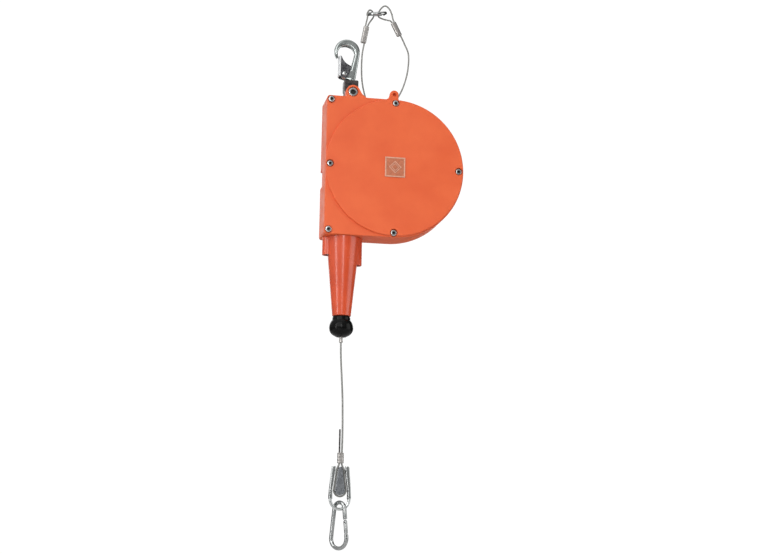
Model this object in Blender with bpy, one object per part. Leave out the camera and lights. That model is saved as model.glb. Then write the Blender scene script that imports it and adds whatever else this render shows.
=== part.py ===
"""Spring rope retractor: a drum and spiral spring in a D-shaped case, hung from a swivel hook.

All named sizes are millimetres in the case's frame: X to the right and Z up from the middle of
the drum, Y from the front face of the case to the back. put() moves them into the scene's frame,
in metres, with its origin in the seat of the suspension hook.
"""
import math

import bmesh
import bpy
from mathutils import Matrix, Vector

MM = 0.001
GAP = 0.3                      # air between pieces that touch or slide on each other

# Case
CASE_RADIUS = 76.5             # round right half, and half the height of the square left half
CASE_LEFT = -75.0
CASE_DEPTH = 39.5
CORNER_RADIUS = 3.0
WALL = 3.0
COVER_THICKNESS = 4.0
DISC_RADIUS = 75.3             # raised round field of the front cover
DISC_HEIGHT = 2.5
BODY_FRONT = COVER_THICKNESS + GAP
INNER_BACK = CASE_DEPTH - WALL
MID_Y = 20.0                   # plane of the hook, the yoke and the rope

# Cover screws: x, z of each, and their sizes
COVER_SCREWS = {
    "top_left": (-70.5, 71.8), "top": (0.0, 72.0), "right": (70.9, 0.0),
    "bottom": (0.0, -72.0), "bottom_left": (-70.5, -71.8), "left": (-70.4, 0.0),
}
SCREW_HEAD_RADIUS = 3.3
SCREW_HEAD_HEIGHT = 2.8
SCREW_RADIUS = 2.0
SCREW_LENGTH = 14.0
SCREW_POCKET_RADIUS = 4.1
SCREW_POCKET_DEPTH = 1.5       # below the flat rim of the cover
SCREW_BOSS_RADIUS = 4.5

# Suspension: yoke bolt, yoke block, swivel shank
BOLT_X, BOLT_Z = -46.8, 82.2
BOLT_RADIUS = 3.0
BOLT_HEAD_RADIUS = 5.0
LUG_RADIUS = 7.6
LUG_FRONT_END = 13.2
LUG_REAR_START, LUG_REAR_END = 26.8, 34.5
YOKE_HALF_WIDTH = 7.85
YOKE_HALF_DEPTH = 6.4
YOKE_TOP = 99.7
YOKE_FOOT_RADIUS = 5.0
SHANK_RADIUS = 4.0
SHANK_GROOVE_RADIUS = 2.7
SHANK_BOTTOM = 87.6
RETAINER_Z = 93.0
RETAINER_RADIUS = 1.2
RETAINER_Y = SHANK_GROOVE_RADIUS + GAP + RETAINER_RADIUS

# Suspension hook
HOOK_HALF_DEPTH = 3.5
HOOK_OUTER = (-51.7, 132.7, 14.2)      # x, z, radius of the outer arch
HOOK_INNER = (-52.9, 130.0, 9.2)       # x, z, radius of the inner arch, whose top is the seat
HOOK_BASE_Z = YOKE_TOP + GAP + 0.2
GATE_X, GATE_Z = -54.7, 106.7
GATE_HUB_RADIUS = 4.8
GATE_CHEEK_INNER = 3.8
GATE_CHEEK_OUTER = 4.7
RIVET_RADIUS = 1.5
SEAT = Vector((HOOK_INNER[0], MID_Y, HOOK_INNER[1] + HOOK_INNER[2]))

# Nozzle, rope and buffer
ROPE_X = -51.0
ROPE_RADIUS = 1.0
NOZZLE_TOP = -76.8
NOZZLE_TIP = -161.5
NOZZLE_TOP_RADIUS = 18.3
NOZZLE_TIP_RADIUS = 10.1
NOZZLE_BOSSES = {"left": (-67.6, -96.0), "right": (-36.4, -106.0)}   # x, lower end
NOZZLE_BOSS_RADIUS = 6.0
BUSH_TOP = -150.0
BUFFER_TOP = -161.9
BUFFER_MIDDLE = -174.3
BUFFER_BOTTOM = -183.8
BUFFER_RADIUS = 13.0
SLEEVE_BOTTOM = -189.6
ROPE_JOIN_Z = -163.5           # where the feed stretch ends and the hanging stretch begins

# Rope end: ferrule, socket, wedge
END_X = -48.5
STRAND_OFFSET = 1.3
FERRULE_TOP, FERRULE_BOTTOM = -306.0, -317.0
TAIL_TOP = -281.5
WEDGE_Z = -345.0
WEDGE_RADIUS = 5.0
WEDGE_TOP = -322.5
WEDGE_TOP_HALF = 2.0
LOOP_RADIUS = WEDGE_RADIUS + ROPE_RADIUS + GAP
SOCKET_TOP = -320.0
SOCKET_BOW_Z = -354.6
BOW_RADIUS = 9.8
BOW_BAR = 1.7
SOCKET_HALF_DEPTH = 3.4

# Snap hooks, of the 5 x 50 size: in their own plane, from the middle of the narrow bend
SNAP_WIRE = 2.25
SNAP_NARROW = 6.5
SNAP_WIDE = 10.0
SNAP_LENGTH = 30.6
SNAP_HINGE = 11.0
SNAP_NOSE = 26.0
SNAP_TURN = math.radians(-47)

# Drum, spring and load adjustment
DRUM_ROPE_RADIUS = -ROPE_X
DRUM_FRONT, DRUM_REAR = 4.6, 27.2
DRUM_FLANGE_RADIUS = 56.0
DRUM_CHAMBER_RADIUS = 45.0
DRUM_WEB = 3.0
HUB_RADIUS = 9.0
ARBOR_RADIUS = 5.0
ROPE_PITCH = 2.35
ROPE_TURNS = 6.6
WINDING_START = 8.2
SPRING_FRONT, SPRING_REAR = 8.4, 24.4
SPRING_TURNS = 8.0
SPRING_THICKNESS = 0.6
WHEEL_TEETH = 25
GEAR_MODULE = 0.8
WHEEL_FRONT, WHEEL_REAR = 30.1, 33.9
WORM_Z = -13.7
WORM_Y = 32.0
WORM_PITCH_RADIUS = 3.7
NOTCH_TOP, NOTCH_BOTTOM = -1.0, -20.0
NOTCH_DEPTH = 2.2
NOTCH_FRONT = 25.5

# Safety rope: eye on the back of the case, hand-laid route
EYE_X, EYE_Y, EYE_Z = -9.0, 46.0, 72.0
SAFETY_ROPE_RADIUS = 0.9
SAFETY_STRAND = 1.3            # half the distance between the two strands in a ferrule
SAFETY_FERRULES = {"left": ((-26.0, 44.0, 174.5), (-29.6, 45.5, 153.5)),
                   "right": ((4.0, 45.0, 182.0), (12.5, 45.5, 165.5))}   # top, bottom
SAFETY_ROUTE = [Vector(p) for p in (
    (-30.2, 46.0, 140.0), (-30.4, 46.5, 122.0), (-29.0, 46.5, 106.0), (-24.6, 46.2, 89.0),
    (-17.5, 46.0, 76.5), (-9.0, 46.0, 72.0), (0.6, 46.0, 76.5), (10.0, 46.4, 91.0),
    (17.6, 46.8, 107.0), (22.4, 47.0, 126.0), (23.0, 46.6, 145.0), (18.0, 46.0, 157.5))]
SAFETY_BIG_EYE = [Vector(p) for p in (
    (2.6, 44.6, 191.0), (-0.6, 45.0, 197.5), (-5.6, 46.0, 200.6), (-10.6, 49.5, 196.0),
    (-11.2, 52.6, 190.2), (-7.0, 49.4, 186.2), (-1.8, 46.4, 184.0))]
SAFETY_BEND = Vector((-15.5, 42.0, 189.0))      # middle of the safety hook's wide bend
SAFETY_BACK = Vector((0.19, 0.92, 0.34)).normalized()
SAFETY_NORMAL = SAFETY_BACK.cross(Vector((0.97, 0.0, 0.14))).normalized()
SAFETY_ACROSS = SAFETY_NORMAL.cross(SAFETY_BACK).normalized()


def put(point):
    """A point of the case's frame, in the scene's frame and in metres."""
    return (Vector(point) - SEAT) * MM


def arc(x, z, radius, start, end, steps):
    """Points on a round stretch, from start to end in degrees, both included."""
    angles = [math.radians(start + (end - start) * i / steps) for i in range(steps + 1)]
    return [(x + radius * math.cos(a), z + radius * math.sin(a)) for a in angles]


def material(name, colour, roughness, metallic=0.0):
    """A plain Principled material, made once for each name."""
    found = bpy.data.materials.get(name)
    if found:
        return found
    made = bpy.data.materials.new(name)
    made.use_nodes = True
    shader = made.node_tree.nodes["Principled BSDF"]
    shader.inputs["Base Color"].default_value = (*colour, 1.0)
    shader.inputs["Roughness"].default_value = roughness
    shader.inputs["Metallic"].default_value = metallic
    made.diffuse_color = (*colour, 1.0)
    return made


def orange():
    return material("case_orange", (0.80, 0.17, 0.06), 0.45)


def nozzle_red():
    return material("nozzle_red", (0.70, 0.09, 0.03), 0.30)


def zinc():
    return material("zinc_plate", (0.66, 0.67, 0.68), 0.25, 1.0)


def dark_steel():
    return material("dark_steel", (0.09, 0.085, 0.08), 0.42, 1.0)


def rope_steel():
    return material("rope_steel", (0.52, 0.53, 0.51), 0.40, 0.8)


def aluminium():
    return material("ferrule_aluminium", (0.70, 0.68, 0.64), 0.38, 1.0)


def black_rubber():
    return material("black_rubber", (0.012, 0.012, 0.012), 0.35)


def brass():
    return material("bearing_brass", (0.60, 0.42, 0.14), 0.35, 1.0)


def spring_steel():
    return material("spring_steel", (0.25, 0.27, 0.32), 0.30, 1.0)


def black_plastic():
    return material("drum_plastic", (0.05, 0.05, 0.055), 0.5)


def make(name, bm, surface, pivot=None):
    """Turn a bmesh in the case's frame into an object whose origin is at pivot."""
    origin = Vector(pivot) if pivot else SEAT
    for vert in bm.verts:
        vert.co = (vert.co - origin) * MM
    bmesh.ops.recalc_face_normals(bm, faces=bm.faces)
    if bm.calc_volume(signed=True) < 0:
        bmesh.ops.reverse_faces(bm, faces=bm.faces)
    mesh = bpy.data.meshes.new(name)
    bm.to_mesh(mesh)
    bm.free()
    mesh.shade_smooth()
    mesh.set_sharp_from_angle(angle=math.radians(32))
    obj = bpy.data.objects.new(name, mesh)
    obj.location = put(origin)
    bpy.context.scene.collection.objects.link(obj)
    if surface:
        obj.data.materials.append(surface)
    return obj


def prism(bm, outline, front, back):
    """Extrude an XZ outline along Y."""
    near = [bm.verts.new((x, front, z)) for x, z in outline]
    face = bm.faces.new(near)
    grown = bmesh.ops.extrude_face_region(bm, geom=[face])
    far = [v for v in grown["geom"] if isinstance(v, bmesh.types.BMVert)]
    bmesh.ops.translate(bm, verts=far, vec=(0, back - front, 0))


def turned(bm, profile, centre, axis="Y", steps=24):
    """Turn a closed (radius, height) outline about an axis through centre; radius 0 is a pole."""
    turn = {"Y": Matrix.Rotation(math.radians(-90), 3, "X"), "Z": Matrix.Identity(3),
            "X": Matrix.Rotation(math.radians(90), 3, "Y")}[axis]
    columns = []
    for step in range(steps):
        angle = 2 * math.pi * step / steps
        column = []
        for index, (radius, height) in enumerate(profile):
            if radius == 0 and step:
                column.append(columns[0][index])
                continue
            spot = Vector((radius * math.cos(angle), radius * math.sin(angle), height))
            column.append(bm.verts.new(turn @ spot + Vector(centre)))
        columns.append(column)
    count = len(profile)
    for step in range(steps):
        here, there = columns[step], columns[(step + 1) % steps]
        for index in range(count):
            after = (index + 1) % count
            if profile[index][0] == 0 and profile[after][0] == 0:
                continue
            corners = [here[index], here[after], there[after], there[index]]
            bm.faces.new(list(dict.fromkeys(corners)))


def rod(bm, radius, start, end, axis="Y", centre=(0, 0, 0), steps=20):
    """A plain cylinder from start to end along the axis, measured from centre."""
    turned(bm, [(0, start), (radius, start), (radius, end), (0, end)], centre, axis, steps)


def box(bm, low, high):
    """A block between two corners."""
    made = bmesh.ops.create_cube(bm, size=1.0)["verts"]
    low, high = Vector(low), Vector(high)
    for vert in made:
        vert.co = Vector([(low[i] + high[i]) / 2 + vert.co[i] * (high[i] - low[i]) for i in range(3)])


def tube(name, points, radius, surface, resolution=2):
    """A capped tube along points in the case's frame."""
    curve = bpy.data.curves.new(name, "CURVE")
    curve.dimensions = "3D"
    curve.bevel_depth = radius * MM
    curve.bevel_resolution = resolution
    curve.use_fill_caps = True
    spline = curve.splines.new("POLY")
    spline.points.add(len(points) - 1)
    origin = Vector(points[0])
    for knot, point in zip(spline.points, points):
        knot.co = (*((Vector(point) - origin) * MM), 1.0)
    obj = bpy.data.objects.new(name, curve)
    obj.location = put(origin)
    bpy.context.scene.collection.objects.link(obj)
    curve.materials.append(surface)
    return obj


def smooth_route(knots, step):
    """Points every step along a smooth curve through the knots."""
    knots = [Vector(k) for k in knots]
    ends = [2 * knots[0] - knots[1]] + knots + [2 * knots[-1] - knots[-2]]
    fine = []
    for i in range(1, len(ends) - 2):
        p0, p1, p2, p3 = ends[i - 1:i + 3]
        for j in range(16):
            t = j / 16
            fine.append(0.5 * (2 * p1 + (p2 - p0) * t + (2 * p0 - 5 * p1 + 4 * p2 - p3) * t * t
                               + (3 * p1 - p0 - 3 * p2 + p3) * t * t * t))
    fine.append(knots[-1])
    route, carried = [fine[0]], 0.0
    for before, after in zip(fine, fine[1:]):
        carried += (after - before).length
        if carried >= step:
            route.append(after)
            carried = 0.0
    if (route[-1] - fine[-1]).length < step / 2:
        route.pop()
    return route + [fine[-1]]


def boolean(obj, name, build, operation="DIFFERENCE", crossing=False):
    """Cut or join a shape that build(bm) draws in the case's frame; crossing says its bodies meet."""
    bm = bmesh.new()
    build(bm)
    tool = make(name, bm, None)
    tool.hide_render = True
    tool.display_type = "WIRE"
    change = obj.modifiers.new(name, "BOOLEAN")
    change.operation = operation
    change.solver = "EXACT"
    change.use_self = crossing
    change.object = tool
    return tool


def case_outline(inset=0.0):
    """The D: square corners on the left, one half circle on the right."""
    half, left, corner = CASE_RADIUS - inset, CASE_LEFT + inset, max(CORNER_RADIUS - inset, 0.6)
    outline = arc(0, 0, half, -90, 90, 30)
    outline += arc(left + corner, half - corner, corner, 90, 180, 3)
    outline += arc(left + corner, corner - half, corner, 180, 270, 3)
    return outline


def lug_outline(bottom):
    """Arch round the yoke bolt, upright on the left and running out in a slope on the right."""
    arch = arc(BOLT_X, BOLT_Z, LUG_RADIUS, 180, 35, 10)
    return [(BOLT_X - LUG_RADIUS, bottom)] + arch + [(BOLT_X + 10.0, 80.2), (BOLT_X + 14.5, 76.8),
                                                      (BOLT_X + 14.5, bottom)]


def cover_eye_outline():
    """Small ear on the top edge of the cover, with a flared left foot."""
    ear = arc(-1.4, 82.0, 5.0, 25, 180, 9)
    return [(3.4, 74.0)] + ear + [(-7.4, 79.0), (-10.0, 76.6), (-10.0, 74.0)]


def front_cover():
    bm = bmesh.new()
    prism(bm, case_outline(), 0.0, COVER_THICKNESS)
    obj = make("front_cover", bm, orange())

    def ears(tool):
        prism(tool, cover_eye_outline(), 0.0, COVER_THICKNESS)

    def lug(tool):
        prism(tool, lug_outline(74.0), 0.0, COVER_THICKNESS)

    def disc(tool):
        rim = DISC_RADIUS
        turned(tool, [(0, 2.0), (rim, 2.0), (rim, 0.6 - DISC_HEIGHT), (rim - 0.6, -DISC_HEIGHT),
                      (0, -DISC_HEIGHT)], (0, 0, 0), "Y", 56)

    def pocket(tool):
        turned(tool, [(12, 0.8), (64, 0.8), (64, 6.0), (12, 6.0)], (0, 0, 0), "Y", 28)

    def holes(tool):
        for x, z in COVER_SCREWS.values():
            turned(tool, [(0, -6.0), (SCREW_POCKET_RADIUS, -6.0),
                          (SCREW_POCKET_RADIUS, SCREW_POCKET_DEPTH), (2.3, SCREW_POCKET_DEPTH),
                          (2.3, 6.0), (0, 6.0)], (x, 0, z), "Y", 14)
        rod(tool, 2.0, -1.0, 6.0, "Y", (-1.4, 0, 82.0), 12)
        rod(tool, BOLT_HEAD_RADIUS + 0.5, -1.0, 6.0, "Y", (BOLT_X, 0, BOLT_Z), 24)
        rod(tool, ARBOR_RADIUS + GAP, 0.0, 6.0, "Y", (0, 0, 0), 20)

    boolean(obj, "cut_ear", ears, "UNION")
    boolean(obj, "cut_lug", lug, "UNION")
    boolean(obj, "cut_disc", disc, "UNION")
    boolean(obj, "cut_pocket", pocket)
    boolean(obj, "cut_holes", holes)


def rear_housing():
    bm = bmesh.new()
    prism(bm, case_outline(), BODY_FRONT, CASE_DEPTH)
    obj = make("rear_housing", bm, orange())

    def cavity(tool):
        prism(tool, case_outline(WALL), BODY_FRONT - 1.0, INNER_BACK)

    def kept(tool):
        for x, z in COVER_SCREWS.values():
            rod(tool, SCREW_BOSS_RADIUS, 0.0, CASE_DEPTH + 2, "Y", (x, 0, z), 12)
        for x, _ in NOZZLE_BOSSES.values():
            box(tool, (x - 5, MID_Y - 5, -80), (x + 5, MID_Y + 5, -66))
        rod(tool, HUB_RADIUS, 35.2, CASE_DEPTH + 2, "Y", (0, 0, 0), 20)
        box(tool, (11.0, 28.0, -19.5), (19.0, CASE_DEPTH + 2, -8.5))
        box(tool, (-90, NOTCH_FRONT - 3, -23.5), (-64, CASE_DEPTH + 2, 2.5))

    def lugs(tool):
        prism(tool, lug_outline(74.6), BODY_FRONT, LUG_FRONT_END)
        prism(tool, lug_outline(74.6), LUG_REAR_START, LUG_REAR_END)

    def rope_eye(tool):
        half = 3.0
        outline = [(CASE_DEPTH - 1.5, 62.0), (CASE_DEPTH - 1.5, 76.3), (45.0, 76.3)]
        outline += arc(EYE_Y, EYE_Z, 5.0, 70, -70, 8) + [(43.0, 64.0)]
        ring = [tool.verts.new((EYE_X - half, y, z)) for y, z in outline]
        grown = bmesh.ops.extrude_face_region(tool, geom=[tool.faces.new(ring)])
        far = [v for v in grown["geom"] if isinstance(v, bmesh.types.BMVert)]
        bmesh.ops.translate(tool, verts=far, vec=(2 * half, 0, 0))

    def holes(tool):
        for x, z in COVER_SCREWS.values():
            rod(tool, SCREW_RADIUS + GAP, 0.0, SCREW_LENGTH + 3.0, "Y", (x, 0, z), 10)
        head, shank = BOLT_HEAD_RADIUS + 0.5, BOLT_RADIUS + GAP
        turned(tool, [(0, 0.0), (head, 0.0), (head, 7.2), (shank, 7.2), (shank, CASE_DEPTH), (0, CASE_DEPTH)],
               (BOLT_X, 0, BOLT_Z), "Y", 24)
        rod(tool, ARBOR_RADIUS + GAP, 34.0, CASE_DEPTH - 1.5, "Y", (0, 0, 0), 20)
        for x, _ in NOZZLE_BOSSES.values():
            rod(tool, SCREW_RADIUS + GAP, -90.0, -68.0, "Z", (x, MID_Y, 0), 12)
        box(tool, (ROPE_X - 5, 9.0, -84.0), (ROPE_X + 5, 31.0, -64.0))
        rod(tool, 5.2, -80.0, -60.0, "X", (0, WORM_Y, WORM_Z), 16)
        rod(tool, 2.3, 9.0, 18.0, "X", (0, WORM_Y, WORM_Z), 12)

    def notch(tool):
        box(tool, (-90, NOTCH_FRONT, NOTCH_BOTTOM), (CASE_LEFT + NOTCH_DEPTH, CASE_DEPTH + 2, NOTCH_TOP))

    def eye_hole(tool):
        rod(tool, 2.6, -10.0, 10.0, "X", (EYE_X, EYE_Y, EYE_Z), 12)

    inner = boolean(obj, "cut_cavity", cavity)
    boolean(inner, "cut_kept", kept, crossing=True)
    boolean(obj, "cut_lugs", lugs, "UNION")
    boolean(obj, "cut_rope_eye", rope_eye, "UNION")
    boolean(obj, "cut_eye_hole", eye_hole)
    boolean(obj, "cut_notch", notch)
    boolean(obj, "cut_holes", holes)


def socket_screw(bm, radius, head_radius, head_height, length, key, centre, axis="Y"):
    """Cap screw whose head's outer face is at height 0 and whose shank runs up the axis."""
    corner = key / math.cos(math.radians(30))
    profile = [(0, head_height * 0.6), (corner * 0.9, head_height * 0.6), (corner, 0),
               (head_radius - 0.4, 0), (head_radius, 0.4), (head_radius, head_height),
               (radius, head_height), (radius, length), (0, length)]
    turned(bm, profile, centre, axis, 12)


def cover_screws():
    for place, (x, z) in COVER_SCREWS.items():
        bm = bmesh.new()
        front = SCREW_POCKET_DEPTH - GAP - SCREW_HEAD_HEIGHT
        socket_screw(bm, SCREW_RADIUS, SCREW_HEAD_RADIUS, SCREW_HEAD_HEIGHT, SCREW_LENGTH, 1.3, (x, front, z))
        make(f"cover_screw_{place}", bm, zinc(), (x, 0, z))


def badge():
    bm = bmesh.new()
    half, front = 11.0, -DISC_HEIGHT - GAP
    box(bm, (-half, front - 0.9, -half), (half, front, half))
    obj = make("badge", bm, orange(), (0, front, 0))

    def field(tool):
        box(tool, (-half + 1.2, front - 2, -half + 1.2), (half - 1.2, front - 0.5, half - 1.2))

    boolean(obj, "cut_field", field)


def nozzle():
    bm = bmesh.new()
    top, tip = NOZZLE_TOP, NOZZLE_TIP
    turned(bm, [(12.0, top), (NOZZLE_TOP_RADIUS, top), (NOZZLE_TIP_RADIUS, tip + 0.8),
                (NOZZLE_TIP_RADIUS - 0.8, tip), (6.3, tip), (6.3, BUSH_TOP), (5.0, BUSH_TOP)],
           (ROPE_X, MID_Y, 0), "Z", 28)
    obj = make("nozzle", bm, nozzle_red(), (ROPE_X, MID_Y, top))

    def bosses(tool):
        for x, lower in NOZZLE_BOSSES.values():
            rod(tool, NOZZLE_BOSS_RADIUS, lower, top, "Z", (x, MID_Y, 0), 24)

    def web(tool):
        """Flat-sided web between the cone and the right boss."""
        x, lower = NOZZLE_BOSSES["right"]
        for z in (top - 0.2, lower + 0.8):
            cone = NOZZLE_TOP_RADIUS + (NOZZLE_TIP_RADIUS - NOZZLE_TOP_RADIUS) * (top - z) / (top - tip)
            for centre, radius in ((ROPE_X, cone - 0.3), (x, NOZZLE_BOSS_RADIUS - 0.1)):
                for corner in arc(centre, MID_Y, radius, -90, 90, 10):
                    tool.verts.new((*corner, z))
        hull = bmesh.ops.convex_hull(tool, input=tool.verts)
        bmesh.ops.delete(tool, geom=list({*hull["geom_interior"], *hull["geom_unused"]}), context="VERTS")

    def bores(tool):
        turned(tool, [(0, top + 1), (11.6, top + 1), (11.6, top - 1), (4.8, BUSH_TOP + 1), (0, BUSH_TOP + 1)],
               (ROPE_X, MID_Y, 0), "Z", 20)
        for x, lower in NOZZLE_BOSSES.values():
            turned(tool, [(0, lower - 1), (3.9, lower - 1), (3.9, lower + 4), (2.3, lower + 4),
                          (2.3, top + 1), (0, top + 1)], (x, MID_Y, 0), "Z", 16)

    boolean(obj, "cut_bosses", bosses, "UNION")
    boolean(obj, "join_web", web, "UNION")
    boolean(obj, "cut_bores", bores)


def nozzle_screws():
    for side, (x, lower) in NOZZLE_BOSSES.items():
        bm = bmesh.new()
        length = -68.5 - lower - 0.5
        socket_screw(bm, SCREW_RADIUS, 3.5, 3.2, length, 1.5, (x, MID_Y, lower + 0.5), "Z")
        make(f"nozzle_screw_{side}", bm, zinc(), (x, MID_Y, lower))


def nozzle_bush():
    bm = bmesh.new()
    turned(bm, [(2.0, BUSH_TOP - 2.5), (4.0, BUSH_TOP - GAP), (6.0, BUSH_TOP - GAP), (6.0, NOZZLE_TIP + 0.5),
                (3.2, NOZZLE_TIP + 0.5), (2.0, NOZZLE_TIP + 3)], (ROPE_X, MID_Y, 0), "Z", 24)
    make("nozzle_bush", bm, brass(), (ROPE_X, MID_Y, NOZZLE_TIP))


def rope_buffer():
    bm = bmesh.new()
    bore = ROPE_RADIUS + GAP
    swell = [(BUFFER_RADIUS * math.cos(math.radians(a)) ** 0.8,
              BUFFER_MIDDLE - 9.6 * math.sin(math.radians(a))) for a in range(-45, 61, 15)]
    profile = [(bore, BUFFER_TOP), (9.2, BUFFER_TOP), (9.6, BUFFER_TOP - 1.6)] + swell
    profile += [(5.0, BUFFER_BOTTOM), (bore, BUFFER_BOTTOM)]
    turned(bm, profile, (ROPE_X, MID_Y, 0), "Z", 24)
    make("ball_buffer", bm, black_rubber(), (ROPE_X, MID_Y, BUFFER_TOP))


def buffer_sleeve():
    bm = bmesh.new()
    bore, low, high = ROPE_RADIUS + GAP, SLEEVE_BOTTOM, BUFFER_BOTTOM - GAP
    turned(bm, [(bore, low), (bore, high), (2.1, high), (2.2, low + 0.5), (1.9, low)],
           (ROPE_X, MID_Y, 0), "Z", 16)
    make("buffer_sleeve", bm, aluminium(), (ROPE_X, MID_Y, low))


def ropes():
    live_x = END_X + STRAND_OFFSET
    hanging = [(ROPE_X, MID_Y, ROPE_JOIN_Z), (ROPE_X, MID_Y, -177), (ROPE_X, MID_Y, SLEEVE_BOTTOM),
               (ROPE_X + 0.5, MID_Y, -207), (ROPE_X + 1.9, MID_Y, -228), (ROPE_X + 3.1, MID_Y, -248),
               (ROPE_X + 3.7, MID_Y, -268), (live_x + 0.2, MID_Y, -288), (live_x, MID_Y, FERRULE_TOP),
               (live_x, MID_Y, -311.4)]
    tube("rope_hanging", smooth_route(hanging, 5.0), ROPE_RADIUS, rope_steel())
    feed = [(ROPE_X, WINDING_START, -2.0), (ROPE_X, WINDING_START + 0.2, -16.0), (ROPE_X, MID_Y - 9.0, -40),
            (ROPE_X, MID_Y - 4.5, -85),
            (ROPE_X, MID_Y - 0.6, -125), (ROPE_X, MID_Y, -150), (ROPE_X, MID_Y, ROPE_JOIN_Z + GAP)]
    tube("rope_feed", smooth_route(feed, 8.0), ROPE_RADIUS, rope_steel())

    steps = 18
    reach = DRUM_ROPE_RADIUS / math.cos(math.pi / steps)
    winding = []
    for i in range(int(ROPE_TURNS * steps) + 1):
        angle = math.pi - 2 * math.pi * i / steps
        winding.append((reach * math.cos(angle), WINDING_START + ROPE_PITCH * i / steps,
                        reach * math.sin(angle)))
    tube("rope_winding", winding, ROPE_RADIUS, rope_steel(), 0)

    low = WEDGE_Z
    lean = LOOP_RADIUS - 3.2
    right = [(live_x, -312.0), (live_x, -317.4), (END_X + 3.3, WEDGE_TOP - 0.5),
             (END_X + 3.3 + lean * 0.45, -333.5)]
    bend = arc(END_X, low, LOOP_RADIUS, 2, -182, 14)
    left = [(2 * END_X - x, z) for x, z in reversed(right)]
    tail = [(END_X - STRAND_OFFSET, -300.0), (END_X - STRAND_OFFSET, TAIL_TOP)]
    loop = [(x, MID_Y, z) for x, z in right + bend + left + tail]
    tube("rope_loop", smooth_route(loop, 2.6), ROPE_RADIUS, rope_steel())


def oval_sleeve(name, start, end, side, rope_radius, wall, reach):
    """Crimped sleeve over two strands that lie side by side, from start to end."""
    start, end, side = Vector(start), Vector(end), Vector(side).normalized()
    along = (end - start).normalized()
    side = (side - along * side.dot(along)).normalized()
    other = along.cross(side)

    def oval(tool, radius, low, high):
        ring = arc(reach, 0, radius, -90, 90, 8) + arc(-reach, 0, radius, 90, 270, 8)
        prism(tool, ring, low, high)
        for vert in tool.verts:
            x, y, z = vert.co
            vert.co = start + side * x + other * z + along * y

    bm = bmesh.new()
    bore = rope_radius + GAP
    oval(bm, bore + wall, 0, (end - start).length)
    obj = make(name, bm, aluminium(), start)
    boolean(obj, f"cut_{name}", lambda tool: oval(tool, bore, -2, (end - start).length + 2))


def socket_wedge():
    bm = bmesh.new()
    outline = arc(END_X, WEDGE_Z, WEDGE_RADIUS, 182, 358, 14)
    outline += arc(END_X, WEDGE_TOP, WEDGE_TOP_HALF, 0, 180, 6)
    prism(bm, outline, MID_Y - 2.6, MID_Y + 2.6)
    make("socket_wedge", bm, dark_steel(), (END_X, MID_Y, WEDGE_Z))


def wedge_socket():
    """Two cheeks that close in towards the top, and a round bow below them for the snap hook."""
    bm = bmesh.new()
    top, low = SOCKET_TOP, SOCKET_BOW_Z + 0.6
    outer = [(11.6, -350.0), (9.6, top - 4.0)] + arc(7.3, top - 2.3, 2.3, 20, 90, 4)
    inner = [(5.3, top), (4.9, top - 1.5), (5.0, top - 4.0), (8.0, WEDGE_Z), (8.0, low)]
    cheek = [(11.6, low)] + outer + inner
    for side in (1, -1):
        prism(bm, [(END_X + side * x, z) for x, z in cheek], MID_Y - SOCKET_HALF_DEPTH,
              MID_Y + SOCKET_HALF_DEPTH)
    obj = make("wedge_socket", bm, zinc(), (END_X, MID_Y, SOCKET_BOW_Z))

    def bow(tool):
        bend = [(-BOW_RADIUS, SOCKET_BOW_Z + 3.0)] + arc(0, SOCKET_BOW_Z, BOW_RADIUS, 180, 360, 18)
        bend.append((BOW_RADIUS, SOCKET_BOW_Z + 3.0))
        swept(tool, bend, [BOW_BAR] * len(bend), lambda u, v, w: Vector((END_X + u, MID_Y + w, v)))

    boolean(obj, "cut_bow", bow, "UNION")


def snap_path():
    """Centre line of the snap hook's wire, from the nose round the wide and narrow bends to the hinge."""
    lean = math.asin((SNAP_WIDE - SNAP_NARROW) / SNAP_LENGTH)
    degrees = math.degrees(lean)

    def leg(side, drop):
        high = Vector((side * SNAP_NARROW * math.cos(lean), SNAP_NARROW * math.sin(lean)))
        low = Vector((side * SNAP_WIDE * math.cos(lean), -SNAP_LENGTH + SNAP_WIDE * math.sin(lean)))
        return high.lerp(low, (high.y + drop) / (high.y - low.y))

    nose, hinge = leg(1, SNAP_NOSE), leg(1, SNAP_HINGE)
    wide = arc(0, -SNAP_LENGTH, SNAP_WIDE, degrees, -180 - degrees, 16)
    narrow = arc(0, 0, SNAP_NARROW, 180 - degrees, degrees, 12)
    points = [tuple(nose)] + wide + [tuple(leg(-1, 18.0))] + narrow + [tuple(hinge)]
    return points, nose, hinge


def swept(bm, points, radii, frame, sides=8):
    """A round bar along plane points (u, v), one radius each, that frame() turns into the case's frame."""
    count = len(points)
    rings = []
    for i, (u, v) in enumerate(points):
        before, after = Vector(points[max(i - 1, 0)]), Vector(points[min(i + 1, count - 1)])
        along = (after - before).normalized()
        normal = Vector((-along.y, along.x))
        ring = []
        for s in range(sides):
            angle = 2 * math.pi * s / sides
            spot = Vector((u, v)) + normal * radii[i] * math.cos(angle)
            ring.append(bm.verts.new(frame(spot.x, spot.y, radii[i] * math.sin(angle))))
        rings.append(ring)
    for here, there in zip(rings, rings[1:]):
        for s in range(sides):
            bm.faces.new((here[s], here[(s + 1) % sides], there[(s + 1) % sides], there[s]))
    bm.faces.new(rings[0])
    bm.faces.new(list(reversed(rings[-1])))


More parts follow.
